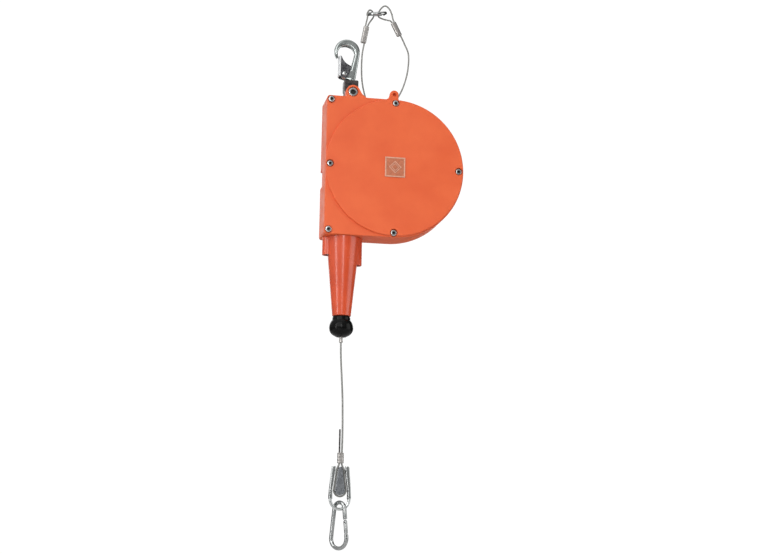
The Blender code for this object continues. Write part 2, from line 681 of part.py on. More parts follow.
def snap_hook(prefix, frame):
    """Body, gate and gate pin of one snap hook; frame(u, v, w) places its plane."""
    points, nose, hinge = snap_path()
    along = (hinge - nose).normalized()
    start = nose + along * 0.4
    end = hinge - along * 0.7
    spot = end - along * 2.2
    bm = bmesh.new()
    swept(bm, points, [SNAP_WIRE] * len(points), frame)
    make(f"{prefix}_body", bm, zinc(), frame(0, 0, 0))
    bm = bmesh.new()
    stations = [start, start.lerp(end, 0.5), end - along * 1.1, end]
    full = SNAP_WIRE - 0.2
    swept(bm, [tuple(p) for p in stations], [full, full, full, 1.2], frame)
    gate = make(f"{prefix}_gate", bm, zinc(), frame(spot.x, spot.y, 0))
    across = frame(0, 0, 1) - frame(0, 0, 0)

    def pin_shape(tool, radius, reach):
        turned(tool, [(0, -reach), (radius, -reach), (radius, reach), (0, reach)], (0, 0, 0), "Z", 10)
        turn = Vector((0, 0, 1)).rotation_difference(across).to_matrix()
        for vert in tool.verts:
            vert.co = turn @ vert.co + frame(spot.x, spot.y, 0)

    boolean(gate, f"cut_{prefix}_bore", lambda tool: pin_shape(tool, 0.9, 4.0))
    bm = bmesh.new()
    pin_shape(bm, 0.6, SNAP_WIRE)
    make(f"{prefix}_pin", bm, zinc(), frame(spot.x, spot.y, 0))


def lower_frame(u, v, w):
    """Hung from the socket's bow, its plane turned about the vertical."""
    bend = SOCKET_BOW_Z - BOW_RADIUS + 0.5
    cosine, sine = math.cos(SNAP_TURN), math.sin(SNAP_TURN)
    return Vector((END_X + u * cosine - w * sine, MID_Y + u * sine + w * cosine, bend + v))


def safety_frame(u, v, w):
    """Snap hook at the top of the safety rope, lying back from its wide bend."""
    return SAFETY_BEND + SAFETY_ACROSS * u + SAFETY_BACK * (v + SNAP_LENGTH + SNAP_WIDE) + SAFETY_NORMAL * w


def safety_strands():
    """Both strands in each ferrule: live and tail, top and bottom."""
    strands = {}
    for side, (top, bottom) in SAFETY_FERRULES.items():
        top, bottom = Vector(top), Vector(bottom)
        along = (top - bottom).normalized()
        across = (Vector((1, 0, 0)) - along * along.x).normalized() * SAFETY_STRAND
        strands[side] = {"across": across, "top": top, "bottom": bottom}
    return strands


def safety_rope():
    strands = safety_strands()
    left, right = strands["left"], strands["right"]
    upright = SAFETY_NORMAL if SAFETY_NORMAL.z > 0 else -SAFETY_NORMAL
    hold = safety_frame(-7.0, -SNAP_LENGTH - 7.1, 0)
    out = (safety_frame(-7.0, -SNAP_LENGTH - 7.1, 0) - safety_frame(0, -SNAP_LENGTH, 0)).normalized()
    left_eye = [hold + out * 4.6 - upright * 3.0, hold + out * 4.2 + upright * 1.8, hold + upright * 4.6,
                hold - out * 4.4 + upright * 1.6, hold - out * 4.4 - upright * 3.5]
    knots = [left["bottom"] - left["across"] + Vector((0, 0, 0.5)), left["top"] - left["across"]]
    knots += left_eye + [left["top"] + left["across"], left["bottom"] + left["across"]]
    knots += SAFETY_ROUTE
    knots += [right["bottom"] + right["across"], right["top"] + right["across"]]
    knots += SAFETY_BIG_EYE
    knots += [right["top"] - right["across"], right["bottom"] - right["across"] + Vector((0, 0, 0.5))]
    tube("safety_rope", smooth_route(knots, 4.6), SAFETY_ROPE_RADIUS, rope_steel())
    for side, held in strands.items():
        along = (held["top"] - held["bottom"]).normalized()
        oval_sleeve(f"safety_ferrule_{side}", held["bottom"] + along, held["top"] - along,
                    held["across"], SAFETY_ROPE_RADIUS + 0.2, 0.8, SAFETY_STRAND)


def drum():
    bm = bmesh.new()
    floor = DRUM_ROPE_RADIUS - ROPE_RADIUS - GAP
    front, rear = DRUM_FRONT, DRUM_REAR
    turned(bm, [(HUB_RADIUS - 2.0, front), (DRUM_FLANGE_RADIUS, front), (DRUM_FLANGE_RADIUS, front + 1.6),
                (floor, front + 2.2), (floor, rear - 2.2), (DRUM_FLANGE_RADIUS, rear - 1.6),
                (DRUM_FLANGE_RADIUS, rear), (DRUM_CHAMBER_RADIUS + 2, rear),
                (DRUM_CHAMBER_RADIUS + 2, rear - 2.5), (DRUM_CHAMBER_RADIUS, rear - 2.5),
                (DRUM_CHAMBER_RADIUS, front + DRUM_WEB), (HUB_RADIUS, front + DRUM_WEB),
                (HUB_RADIUS, front + DRUM_WEB + 0.6), (HUB_RADIUS - 2.0, front + DRUM_WEB + 0.6)],
           (0, 0, 0), "Y", 32)
    make("drum", bm, black_plastic(), (0, MID_Y, 0))
    bm = bmesh.new()
    turned(bm, [(HUB_RADIUS - 2.0, rear - 2.2), (DRUM_CHAMBER_RADIUS + 1.7, rear - 2.2),
                (DRUM_CHAMBER_RADIUS + 1.7, rear - 0.2), (HUB_RADIUS - 2.0, rear - 0.2)], (0, 0, 0), "Y", 28)
    make("spring_cover", bm, zinc(), (0, MID_Y, 0))
    for end, (low, high) in {"front": (front + 0.2, front + 3.5), "rear": (rear - 2.3, rear - 0.1)}.items():
        bm = bmesh.new()
        turned(bm, [(ARBOR_RADIUS + 0.1, low), (HUB_RADIUS - 2.0 - GAP, low),
                    (HUB_RADIUS - 2.0 - GAP, high), (ARBOR_RADIUS + 0.1, high)], (0, 0, 0), "Y", 20)
        make(f"drum_bush_{end}", bm, brass(), (0, MID_Y, 0))


def spiral_spring():
    """Flat strip wound from the arbor out to the drum's wall."""
    inner, outer, steps = ARBOR_RADIUS + 1.2, DRUM_CHAMBER_RADIUS - 1.6, 16
    total = int(SPRING_TURNS * steps)

    def rim(offset):
        points = []
        for i in range(total + 1):
            angle = 2 * math.pi * i / steps
            radius = inner + (outer - inner) * i / total + offset
            points.append((radius * math.cos(angle), radius * math.sin(angle)))
        return points

    bm = bmesh.new()
    prism_strip(bm, rim(0.0), rim(SPRING_THICKNESS), SPRING_FRONT, SPRING_REAR)
    make("spiral_spring", bm, spring_steel(), (0, MID_Y, 0))


def prism_strip(bm, inside, outside, front, back):
    """A long bent strip between two lines of XZ points, extruded along Y."""
    rows = [[bm.verts.new((x, y, z)) for x, z in line] for line, y in
            ((inside, front), (outside, front), (outside, back), (inside, back))]
    for row, after in zip(rows, rows[1:] + rows[:1]):
        for i in range(len(row) - 1):
            bm.faces.new((row[i], row[i + 1], after[i + 1], after[i]))
    bm.faces.new([row[0] for row in rows])
    bm.faces.new([row[-1] for row in reversed(rows)])


def arbor():
    bm = bmesh.new()
    radius, neck = ARBOR_RADIUS, ARBOR_RADIUS - 1.2
    turned(bm, [(0, 0.3), (radius, 0.3), (radius, WHEEL_FRONT - 0.5), (neck, WHEEL_FRONT - GAP),
                (neck, WHEEL_REAR + GAP), (radius - 0.2, WHEEL_REAR + 0.5), (radius - 0.2, 37.6),
                (0, 37.6)], (0, 0, 0), "Y", 24)
    make("spring_arbor", bm, zinc(), (0, MID_Y, 0))


def worm_wheel():
    """25 teeth that lean with the worm's lead, a gap facing the worm."""
    pitch_radius = WHEEL_TEETH * GEAR_MODULE / 2
    tip, root = pitch_radius + 0.55, pitch_radius - 0.9
    lean = GEAR_MODULE / (2 * WORM_PITCH_RADIUS) * (WHEEL_REAR - WHEEL_FRONT) / pitch_radius
    share = 2 * math.pi / WHEEL_TEETH
    flanks = ((-0.32, root), (-0.11, tip), (0.11, tip), (0.32, root))
    middles = [-math.pi / 2 + share * (tooth + 0.5) for tooth in range(WHEEL_TEETH)]

    def rim(turn, radii=None):
        return [(math.cos(middle + offset * share + turn) * (radii or radius),
                 math.sin(middle + offset * share + turn) * (radii or radius))
                for middle in middles for offset, radius in flanks]

    bore = ARBOR_RADIUS - 1.2 + 0.1
    lines = ((rim(lean / 2), WHEEL_FRONT), (rim(-lean / 2), WHEEL_REAR),
             (rim(-lean / 2, bore), WHEEL_REAR), (rim(lean / 2, bore), WHEEL_FRONT))
    bm = bmesh.new()
    loops = [[bm.verts.new((x, y, z)) for x, z in line] for line, y in lines]
    for here, there in zip(loops, loops[1:] + loops[:1]):
        for i in range(len(here)):
            j = (i + 1) % len(here)
            bm.faces.new((here[i], here[j], there[j], there[i]))
    make("worm_wheel", bm, brass(), (0, MID_Y, 0))


def worm():
    """Adjusting worm: thread under the wheel, hexagon socket in the notch of the left wall."""
    lead = math.pi * GEAR_MODULE
    core, crest = WORM_PITCH_RADIUS - 0.85, WORM_PITCH_RADIUS + 0.5
    left, right, sides = -7.5, 7.5, 12
    count = int((right - left) / lead * 6)

    def thread(x, angle):
        phase = (x / lead - (angle - math.pi / 2) / (2 * math.pi)) % 1.0
        distance = min(phase, 1.0 - phase)
        return core + (crest - core) * max(0.0, min(1.0, (0.27 - distance) / 0.14))

    head_end = CASE_LEFT + NOTCH_DEPTH + 0.4
    plain = [(head_end, 4.9), (-65.0, 4.9), (-64.6, 2.6), (left - 1.0, 2.6)]
    stations = plain + [(left + (right - left) * i / count, None) for i in range(count + 1)]
    stations += [(right + 1.0, 2.0), (17.0, 2.0)]
    bm = bmesh.new()
    rings = []
    for x, radius in stations:
        ring = []
        for s in range(sides):
            angle = 2 * math.pi * s / sides
            reach = radius or thread(x, angle)
            ring.append(bm.verts.new((x, WORM_Y + reach * math.cos(angle), WORM_Z + reach * math.sin(angle))))
        rings.append(ring)
    for here, there in zip(rings, rings[1:]):
        for s in range(sides):
            bm.faces.new((here[s], here[(s + 1) % sides], there[(s + 1) % sides], there[s]))
    bm.faces.new(rings[0])
    bm.faces.new(list(reversed(rings[-1])))
    obj = make("adjusting_worm", bm, zinc(), (head_end, WORM_Y, WORM_Z))

    def socket(tool):
        rod(tool, 2.9, head_end - 1, head_end + 5, "X", (0, WORM_Y, WORM_Z), 6)

    boolean(obj, "cut_worm_socket", socket)


def yoke():
    bm = bmesh.new()
    half, top = YOKE_HALF_WIDTH, YOKE_TOP
    side = [(half, 87.4), (half, top - 1.2), (half - 1.2, top)]
    outline = arc(0, BOLT_Z, YOKE_FOOT_RADIUS, 180, 360, 12) + side + [(-x, z) for x, z in reversed(side)]
    prism(bm, [(BOLT_X + x, z) for x, z in outline], MID_Y - YOKE_HALF_DEPTH, MID_Y + YOKE_HALF_DEPTH)
    obj = make("yoke", bm, dark_steel(), (BOLT_X, MID_Y, BOLT_Z))

    def bores(tool):
        rod(tool, BOLT_RADIUS + GAP, 0, 40, "Y", (BOLT_X, 0, BOLT_Z), 16)
        rod(tool, SHANK_RADIUS + GAP, SHANK_BOTTOM - 0.4, top + 2, "Z", (BOLT_X, MID_Y, 0), 24)

    def retainer_bore(tool):
        rod(tool, RETAINER_RADIUS + GAP, -12, 12, "X", (BOLT_X, MID_Y + RETAINER_Y, RETAINER_Z), 12)

    boolean(obj, "cut_yoke_bores", bores)
    boolean(obj, "cut_retainer_bore", retainer_bore)
    bm = bmesh.new()
    rod(bm, RETAINER_RADIUS, -half + 0.3, half - 0.3, "X", (BOLT_X, MID_Y + RETAINER_Y, RETAINER_Z), 12)
    make("swivel_retainer", bm, zinc(), (BOLT_X, MID_Y, RETAINER_Z))
    bm = bmesh.new()
    socket_screw(bm, BOLT_RADIUS, BOLT_HEAD_RADIUS, 6.0, 40.0, 2.5, (BOLT_X, 0.9, BOLT_Z))
    make("yoke_bolt", bm, zinc(), (BOLT_X, MID_Y, BOLT_Z))
    bm = bmesh.new()
    near, far = LUG_REAR_END + GAP, LUG_REAR_END + 5.0
    rod(bm, 5.7, near, far, "Y", (BOLT_X, 0, BOLT_Z), 6)
    nut = make("yoke_nut", bm, zinc(), (BOLT_X, MID_Y, BOLT_Z))
    boolean(nut, "cut_nut_bore", lambda tool: rod(tool, BOLT_RADIUS + GAP, near - 2, far + 2, "Y",
                                                  (BOLT_X, 0, BOLT_Z), 12))


def suspension_hook():
    outer = arc(*HOOK_OUTER, 217, -8, 26)
    inner = arc(*HOOK_INNER, -5, 205, 20)
    hub = arc(GATE_X, GATE_Z, GATE_HUB_RADIUS, 250, 60, 12)
    base = [(-41.9, HOOK_BASE_Z + 0.8), (-42.7, HOOK_BASE_Z), (-54.0, HOOK_BASE_Z)]
    outline = outer + base + hub + [(-47.6, 112.5)] + inner + [(-61.8, 124.8)]
    bm = bmesh.new()
    prism(bm, outline, MID_Y - HOOK_HALF_DEPTH, MID_Y + HOOK_HALF_DEPTH)
    obj = make("suspension_hook", bm, zinc())
    bevel = obj.modifiers.new("forged_edges", "BEVEL")
    bevel.width = 1.3 * MM
    bevel.segments = 1
    bevel.limit_method = "ANGLE"
    bevel.angle_limit = math.radians(60)

    def shank(tool):
        radius, low = SHANK_RADIUS, SHANK_BOTTOM
        groove = SHANK_GROOVE_RADIUS
        turned(tool, [(0, low), (radius - 0.5, low), (radius, low + 0.5), (radius, RETAINER_Z - 1.7),
                      (groove, RETAINER_Z - 1.6), (groove, RETAINER_Z + 1.6), (radius, RETAINER_Z + 1.7),
                      (radius, HOOK_BASE_Z + 2.5), (0, HOOK_BASE_Z + 2.5)], (BOLT_X, MID_Y, 0), "Z", 24)

    def rivet_bore(tool):
        rod(tool, RIVET_RADIUS + GAP, 10, 30, "Y", (GATE_X, 0, GATE_Z), 16)

    def spring_slot(tool):
        box(tool, (-64, MID_Y - 1.5, 102.6), (-51.4, MID_Y + 1.5, 112.0))

    boolean(obj, "cut_shank", shank, "UNION")
    boolean(obj, "cut_rivet_bore", rivet_bore)
    boolean(obj, "cut_spring_slot", spring_slot)


def hook_gate():
    left, right = -60.7, -59.7
    outline = [(left, 105.0), (-58.6, 102.9)] + arc(GATE_X, GATE_Z, 4.7, 245, 300, 4)
    outline += [(-50.2, 103.9), (-48.6, 108.5), (-47.3, 115.9), (-50.6, 117.3), (-54.0, 119.8),
                (-56.6, 123.4), (-58.0, 127.0), (-59.6, 127.2), (left, 126.2)]
    bm = bmesh.new()
    prism(bm, outline, MID_Y - GATE_CHEEK_OUTER, MID_Y + GATE_CHEEK_OUTER)
    obj = make("hook_gate", bm, dark_steel(), (GATE_X, MID_Y, GATE_Z))

    def hollow(tool):
        box(tool, (right, MID_Y - GATE_CHEEK_INNER, 95.0), (-40.0, MID_Y + GATE_CHEEK_INNER, 132.0))

    def bore(tool):
        rod(tool, RIVET_RADIUS + GAP, 10, 30, "Y", (GATE_X, 0, GATE_Z), 16)

    boolean(obj, "cut_gate_hollow", hollow)
    boolean(obj, "cut_gate_bore", bore)
    bm = bmesh.new()
    profile = [(0, -5.8), (1.6, -5.8), (2.3, -5.4), (2.3, -5.0), (RIVET_RADIUS, -5.0), (RIVET_RADIUS, 5.0),
               (2.3, 5.0), (2.3, 5.4), (1.6, 5.8), (0, 5.8)]
    turned(bm, profile, (GATE_X, MID_Y, GATE_Z), "Y", 16)
    make("gate_rivet", bm, zinc(), (GATE_X, MID_Y, GATE_Z))
    coil = [(GATE_X - 4.0, MID_Y - 1.0, GATE_Z + 8.5)]
    for i in range(29):
        angle = math.pi + 2 * math.pi * i / 12
        coil.append((GATE_X + 2.6 * math.cos(angle), MID_Y - 1.0 + 2.0 * i / 28,
                     GATE_Z + 2.6 * math.sin(angle)))
    coil.append((GATE_X + 1.4, MID_Y + 1.0, GATE_Z - 3.0))
    tube("gate_spring", coil, 0.35, spring_steel(), 0)


def build():
    for obj in list(bpy.data.objects):
        bpy.data.objects.remove(obj, do_unlink=True)
    front_cover()
    rear_housing()
    cover_screws()
    badge()
    nozzle()
    nozzle_screws()
    nozzle_bush()
    rope_buffer()
    buffer_sleeve()
    ropes()
    oval_sleeve("rope_ferrule", (END_X, MID_Y, FERRULE_BOTTOM), (END_X, MID_Y, FERRULE_TOP), (1, 0, 0),
                ROPE_RADIUS, 1.2, STRAND_OFFSET)
    socket_wedge()
    wedge_socket()
    snap_hook("snap_hook", lower_frame)
    snap_hook("safety_snap", safety_frame)
    safety_rope()
    drum()
    spiral_spring()
    arbor()
    worm_wheel()
    worm()
    yoke()
    suspension_hook()
    hook_gate()


build()
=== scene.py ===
"""Looks of the spring rope balancer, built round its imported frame.

Shapes are drawn in the case's own frame, in millimetres: X to the right and Z up from the drum's axis,
Y from the rim of the front cover (0) to the back. put() turns that into the frame's metres.
"""
import math

import bmesh
import bpy
from mathutils import Matrix, Vector


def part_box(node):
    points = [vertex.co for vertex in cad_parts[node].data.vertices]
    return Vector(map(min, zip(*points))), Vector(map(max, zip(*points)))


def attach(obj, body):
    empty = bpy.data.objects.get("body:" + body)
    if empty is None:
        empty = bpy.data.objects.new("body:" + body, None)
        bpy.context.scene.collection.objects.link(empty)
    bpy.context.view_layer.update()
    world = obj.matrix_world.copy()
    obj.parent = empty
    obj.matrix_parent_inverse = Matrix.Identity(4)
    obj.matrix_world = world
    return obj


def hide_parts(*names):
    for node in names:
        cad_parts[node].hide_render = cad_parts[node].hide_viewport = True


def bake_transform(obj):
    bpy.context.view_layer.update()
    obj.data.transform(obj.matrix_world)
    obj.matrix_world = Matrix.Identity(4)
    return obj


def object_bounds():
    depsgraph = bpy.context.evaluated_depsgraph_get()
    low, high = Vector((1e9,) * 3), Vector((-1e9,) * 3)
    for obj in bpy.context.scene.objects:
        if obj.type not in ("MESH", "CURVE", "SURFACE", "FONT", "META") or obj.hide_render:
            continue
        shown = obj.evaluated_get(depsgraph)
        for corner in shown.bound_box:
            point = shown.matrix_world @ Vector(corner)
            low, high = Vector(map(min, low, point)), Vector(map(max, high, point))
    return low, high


MM = 0.001
GAP = 0.3

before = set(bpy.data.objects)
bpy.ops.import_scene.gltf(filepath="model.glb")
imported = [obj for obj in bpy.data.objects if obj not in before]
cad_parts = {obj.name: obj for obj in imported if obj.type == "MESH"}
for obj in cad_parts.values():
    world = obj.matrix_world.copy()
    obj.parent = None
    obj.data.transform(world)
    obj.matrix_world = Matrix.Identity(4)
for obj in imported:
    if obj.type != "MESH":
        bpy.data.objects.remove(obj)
cad_low, cad_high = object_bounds()

# Case
CASE_RADIUS = 76.5
CASE_LEFT = -75.0
CASE_DEPTH = 39.5
CORNER_RADIUS = 3.0
WALL = 3.0
COVER_THICKNESS = 4.0
DISC_RADIUS = 75.3
DISC_HEIGHT = 2.5
BODY_FRONT = COVER_THICKNESS + GAP
INNER_BACK = CASE_DEPTH - WALL
MID_Y = 20.0
ARBOR_RADIUS = 5.0
COVER_SCREWS = {
    "top_left": (-70.5, 71.8), "top": (0.0, 72.0), "right": (70.9, 0.0),
    "bottom": (0.0, -72.0), "bottom_left": (-70.5, -71.8), "left": (-70.4, 0.0)}
SCREW_HEAD_RADIUS = 3.3
SCREW_POCKET_RADIUS = 4.1
SCREW_POCKET_DEPTH = 1.5
NOTCH_TOP, NOTCH_BOTTOM = -1.0, -20.0
NOTCH_DEPTH = 2.2
NOTCH_FRONT = 25.5
WORM_Y, WORM_Z = 32.0, -13.7
EYE_X, EYE_Y, EYE_Z = -9.0, 46.0, 72.0

# Yoke and lugs
BOLT_X, BOLT_Z = -46.8, 82.2
BOLT_AXIS, SWIVEL_AXIS = (BOLT_X, 0, BOLT_Z), (BOLT_X, MID_Y, 0)
BOLT_RADIUS = 3.0
BOLT_HEAD_RADIUS = 5.0
LUG_RADIUS = 7.6
LUG_FRONT_END = 13.2
LUG_REAR_START, LUG_REAR_END = 26.8, 34.5
YOKE_HALF_WIDTH = 7.85
YOKE_HALF_DEPTH = 6.4
YOKE_TOP = 99.7
YOKE_FOOT_RADIUS = 5.0
SHANK_RADIUS = 4.0
SHANK_BOTTOM = 87.6
RETAINER_Z = 93.0
RETAINER_CENTRE = (BOLT_X, MID_Y + 4.2, RETAINER_Z)

# Suspension hook
HOOK_HALF_DEPTH = 3.9
HOOK_OUTER = (-51.7, 132.7, 14.2)
HOOK_INNER = (-52.9, 130.0, 9.2)
HOOK_BASE_Z = YOKE_TOP + GAP + 0.2
GATE_X, GATE_Z = -54.7, 106.7
GATE_HUB_RADIUS = 4.8
RIVET_RADIUS = 1.5
RIVET_BORE = (RIVET_RADIUS + GAP, 10, 30, "Y", (GATE_X, 0, GATE_Z), 32)

# Nozzle, rope and buffer
ROPE_X = -51.0
ROPE_AXIS = (ROPE_X, MID_Y, 0)
ROPE_RADIUS = 1.0
NOZZLE_TOP, NOZZLE_TIP = -76.8, -161.5
NOZZLE_TOP_RADIUS, NOZZLE_TIP_RADIUS = 18.3, 10.1
NOZZLE_BOSSES = {"left": (-67.6, -96.0), "right": (-36.4, -106.0)}
NOZZLE_BOSS_RADIUS = 6.0
BOSS_SCREW_END = -68.5
BUSH_TOP = -150.0
BUFFER_TOP, BUFFER_MIDDLE, BUFFER_BOTTOM = -161.9, -174.3, -183.8
BUFFER_RADIUS = 13.0
SLEEVE_BOTTOM = -189.6
ROPE_JOIN_Z = -163.5

# Wedge socket and rope end
END_X = -48.5
STRAND_OFFSET = 1.3
FERRULE_TOP, FERRULE_BOTTOM = -306.0, -317.0
TAIL_TOP = -281.5
WEDGE_Z, WEDGE_RADIUS = -345.0, 5.0
WEDGE_TOP, WEDGE_TOP_HALF = -322.5, 2.0
LOOP_RADIUS = WEDGE_RADIUS + ROPE_RADIUS + GAP
SOCKET_TOP = -320.0
SOCKET_BOW_Z = -354.6
BOW_RADIUS, BOW_BAR = 9.8, 1.7
SOCKET_HALF_DEPTH = 3.4

# Snap hooks
ROUND_BAR = 0.95                      # a round bar's radius, for the area of the CAD's eight-sided one
SNAP_WIRE = 2.25
SNAP_NARROW, SNAP_WIDE, SNAP_LENGTH = 6.5, 10.0, 30.6
SNAP_HINGE, SNAP_NOSE = 11.0, 26.0
SNAP_TURN = math.radians(-47)

# Safety rope
SAFETY_ROPE_RADIUS = 0.9
SAFETY_STRAND = 1.3
SAFETY_FERRULES = {"left": ((-26.0, 44.0, 174.5), (-29.6, 45.5, 153.5)),
                   "right": ((4.0, 45.0, 182.0), (12.5, 45.5, 165.5))}
SAFETY_ROUTE = [Vector(p) for p in (
    (-30.2, 46.0, 140.0), (-30.4, 46.5, 122.0), (-29.0, 46.5, 106.0), (-24.6, 46.2, 89.0),
    (-17.5, 46.0, 76.5), (-9.0, 46.0, 72.0), (0.6, 46.0, 76.5), (10.0, 46.4, 91.0),
    (17.6, 46.8, 107.0), (22.4, 47.0, 126.0), (23.0, 46.6, 145.0), (18.0, 46.0, 157.5))]
SAFETY_BIG_EYE = [Vector(p) for p in (
    (2.6, 44.6, 191.0), (-0.6, 45.0, 197.5), (-5.6, 46.0, 200.6), (-10.6, 49.5, 196.0),
    (-11.2, 52.6, 190.2), (-7.0, 49.4, 186.2), (-1.8, 46.4, 184.0))]
SAFETY_BEND = Vector((-15.5, 42.0, 189.0))
SAFETY_BACK = Vector((0.19, 0.92, 0.34)).normalized()
SAFETY_NORMAL = SAFETY_BACK.cross(Vector((0.97, 0.0, 0.14))).normalized()
SAFETY_ACROSS = SAFETY_NORMAL.cross(SAFETY_BACK).normalized()


def case_origin():
    """The drum's axis at the plane of the cover's rim, in the frame's metres."""
    drum_low, drum_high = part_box("drum")
    cover_low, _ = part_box("front_cover")
    middle = (drum_low + drum_high) / 2
    return Vector((middle.x, cover_low.y + DISC_HEIGHT * MM, middle.z))


ORIGIN = case_origin()


def put(point):
    """A point of the case's frame, in the frame's metres."""
    return Vector(point) * MM + ORIGIN


# ---------------------------------------------------------------- materials

def set_stops(ramp, stops):
    """Give a colour ramp its (position, colour) stops."""
    steps = ramp.color_ramp.elements
    while len(steps) < len(stops):
        steps.new(0.5)
    for step, (position, colour) in zip(steps, stops):
        step.position = position
        step.color = (*colour, 1.0)


class Surface:
    """A Principled material under construction, with its nodes in object coordinates."""

    def __init__(self, name, metallic=0.0, **sockets):
        self.material = bpy.data.materials.new(name)
        self.material.use_nodes = True
        self.tree = self.material.node_tree
        self.shader = self.tree.nodes["Principled BSDF"]
        self.shader.inputs["Metallic"].default_value = metallic
        for socket, value in sockets.items():
            self.shader.inputs[socket.replace("_", " ")].default_value = value
        self.place = self.node("ShaderNodeTexCoord").outputs["Object"]

    def node(self, kind, **values):
        """A new node; values set its inputs, or else its properties."""
        made = self.tree.nodes.new(kind)
        for key, value in values.items():
            if key in made.inputs:
                made.inputs[key].default_value = value
            else:
                setattr(made, key, value)
        return made

    def link(self, output, target):
        self.tree.links.new(output, target)

    def stretched(self, scale):
        """Object coordinates scaled by a vector, so that a pattern runs along an axis."""
        mapping = self.node("ShaderNodeMapping")
        mapping.inputs["Scale"].default_value = scale
        self.link(self.place, mapping.inputs["Vector"])
        return mapping.outputs["Vector"]

    def noise(self, size, detail=3.0, place=None):
        """Noise whose features are about size millimetres."""
        made = self.node("ShaderNodeTexNoise", Scale=1.0 / (size * MM), Detail=detail)
        self.link(place or self.place, made.inputs["Vector"])
        return made.outputs["Fac"]

    def ramp(self, fac, stops):
        made = self.node("ShaderNodeValToRGB")
        set_stops(made, stops)
        self.link(fac, made.inputs["Fac"])
        return made.outputs["Color"]

    def tint(self, fac, light, dark, spread=0.18):
        """Colour that drifts between two shades round the middle of a noise."""
        drift = self.ramp(fac, [(0.5 - spread, dark), (0.5 + spread, light)])
        self.link(drift, self.shader.inputs["Base Color"])

    def polish(self, fac, low, high):
        """Roughness that drifts between two values."""
        drift = self.ramp(fac, [(0.3, (low,) * 3), (0.7, (high,) * 3)])
        self.link(drift, self.shader.inputs["Roughness"])

    def bump(self, fac, height):
        """Relief of height millimetres; a second call adds to the first."""
        made = self.node("ShaderNodeBump", Distance=height * MM, Strength=1.0)
        self.link(fac, made.inputs["Height"])
        if self.shader.inputs["Normal"].is_linked:
            self.link(self.shader.inputs["Normal"].links[0].from_socket, made.inputs["Normal"])
        self.link(made.outputs["Normal"], self.shader.inputs["Normal"])


def shade(colour, factor):
    return tuple(min(1.0, c * factor) for c in colour)


def finish(name, metallic, tint, polish, bumps=(), spread=0.18, **sockets):
    """A surface whose tint and roughness drift and whose relief is shallow.

    tint and polish are (grain in millimetres, detail, one end, other end), or polish is one roughness;
    a bump is (grain, detail, height in millimetres). A polish or a bump may end with a stretch of its grain.
    """
    made = Surface(name, metallic, **sockets)
    grain, detail, light, dark = tint
    made.tint(made.noise(grain, detail), light, dark, spread)
    if isinstance(polish, tuple):
        grain, detail, low, high, *stretch = polish
        made.polish(made.noise(grain, detail, *map(made.stretched, stretch)), low, high)
    else:
        made.shader.inputs["Roughness"].default_value = polish
    for grain, detail, height, *stretch in bumps:
        made.bump(made.noise(grain, detail, *map(made.stretched, stretch)), height)
    return made.material


def rope_wire():
    """Twisted strands under a thin pale coat; the lay shows as slanting grooves."""
    made = Surface("rope_wire", 0.45, Roughness=0.38, Coat_Weight=0.25, Coat_Roughness=0.2)
    made.tint(made.noise(3.0), (0.27, 0.27, 0.255), (0.21, 0.21, 0.195))
    lay = made.node("ShaderNodeTexWave", Scale=180.0, Distortion=0.6, bands_direction="DIAGONAL")
    made.link(made.stretched((2.0, 2.0, 1.0)), lay.inputs["Vector"])
    made.bump(lay.outputs["Fac"], 0.02)
    return made.material


def badge_face(name, colour):
    """Printed badge plastic, worn unevenly."""
    return finish(name, 0.0, (1.6, 5.0, shade(colour, 1.12), shade(colour, 0.82)), 0.42,
                  [(0.5, 3.0, 0.02)])


def plain_metal(name, colour, roughness):
    """Turned inner pieces, and the gate web's painted highlight."""
    return finish(name, 1.0, (4.0, 4.0, shade(colour, 1.1), shade(colour, 0.85)),
                  (1.5, 4.0, roughness * 0.8, roughness * 1.2))


# Moulded plastic with spark-eroded grain, faint flow marks and handling scuffs
ORANGE = finish("moulded_orange", 0.0,
                (30.0, 5.0, (0.765, 0.130, 0.038), (0.715, 0.108, 0.030)), (9.0, 5.0, 0.40, 0.54),
                [(0.55, 2.0, 0.035), (60.0, 1.0, 0.25)], Specular_IOR_Level=0.38)
# The nozzle's deeper, smoother plastic, with drawn flow lines
RED = finish("nozzle_red", 0.0,
             (22.0, 4.0, (0.68, 0.092, 0.031), (0.57, 0.066, 0.021)), (9.0, 4.0, 0.21, 0.28),
             [(24.0, 1.0, 0.12, (1.0, 1.0, 0.12))], Coat_Weight=0.25, Coat_Roughness=0.28)
# Steel under bright zinc, with soft streaks and small dull spots
ZINC = finish("zinc_plate", 1.0,
              (6.0, 5.0, (0.70, 0.72, 0.71), (0.54, 0.56, 0.56)), (8.0, 3.0, 0.15, 0.23),
              [(8.0, 1.0, 0.02)])
# The suspension hook: rougher zinc plate over forged steel, greyer because its tone is darkened as painted
# shade
HOOK_ZINC_SHADED = finish("forged_zinc", 1.0,
                (9.0, 5.0, (0.46, 0.49, 0.48), (0.35, 0.38, 0.37)), (4.0, 5.0, 0.18, 0.30),
                [(9.0, 1.0, 0.04)])
# Snap hook wire: drawn smooth, its zinc tone darkened as painted shade
SNAP_ZINC_SHADED = finish("drawn_zinc", 1.0,
               (5.0, 3.0, (0.45, 0.46, 0.455), (0.30, 0.31, 0.31)), (8.0, 3.0, 0.12, 0.19),
               [(8.0, 1.0, 0.02)])
# Dark yoke: brown-black burnished steel with rubbed patches
BURNISHED = finish("burnished_steel", 0.9,
                   (4.0, 6.0, (0.11, 0.095, 0.09), (0.035, 0.032, 0.034)), (2.5, 5.0, 0.28, 0.46),
                   [(2.0, 3.0, 0.03)], 0.15)
# The socket's wedge: smooth blue-grey steel
BLUED = finish("blued_steel", 0.9,
               (5.0, 4.0, (0.34, 0.355, 0.375), (0.23, 0.245, 0.265)), (2.5, 4.0, 0.24, 0.36),
               [(2.0, 3.0, 0.01)])
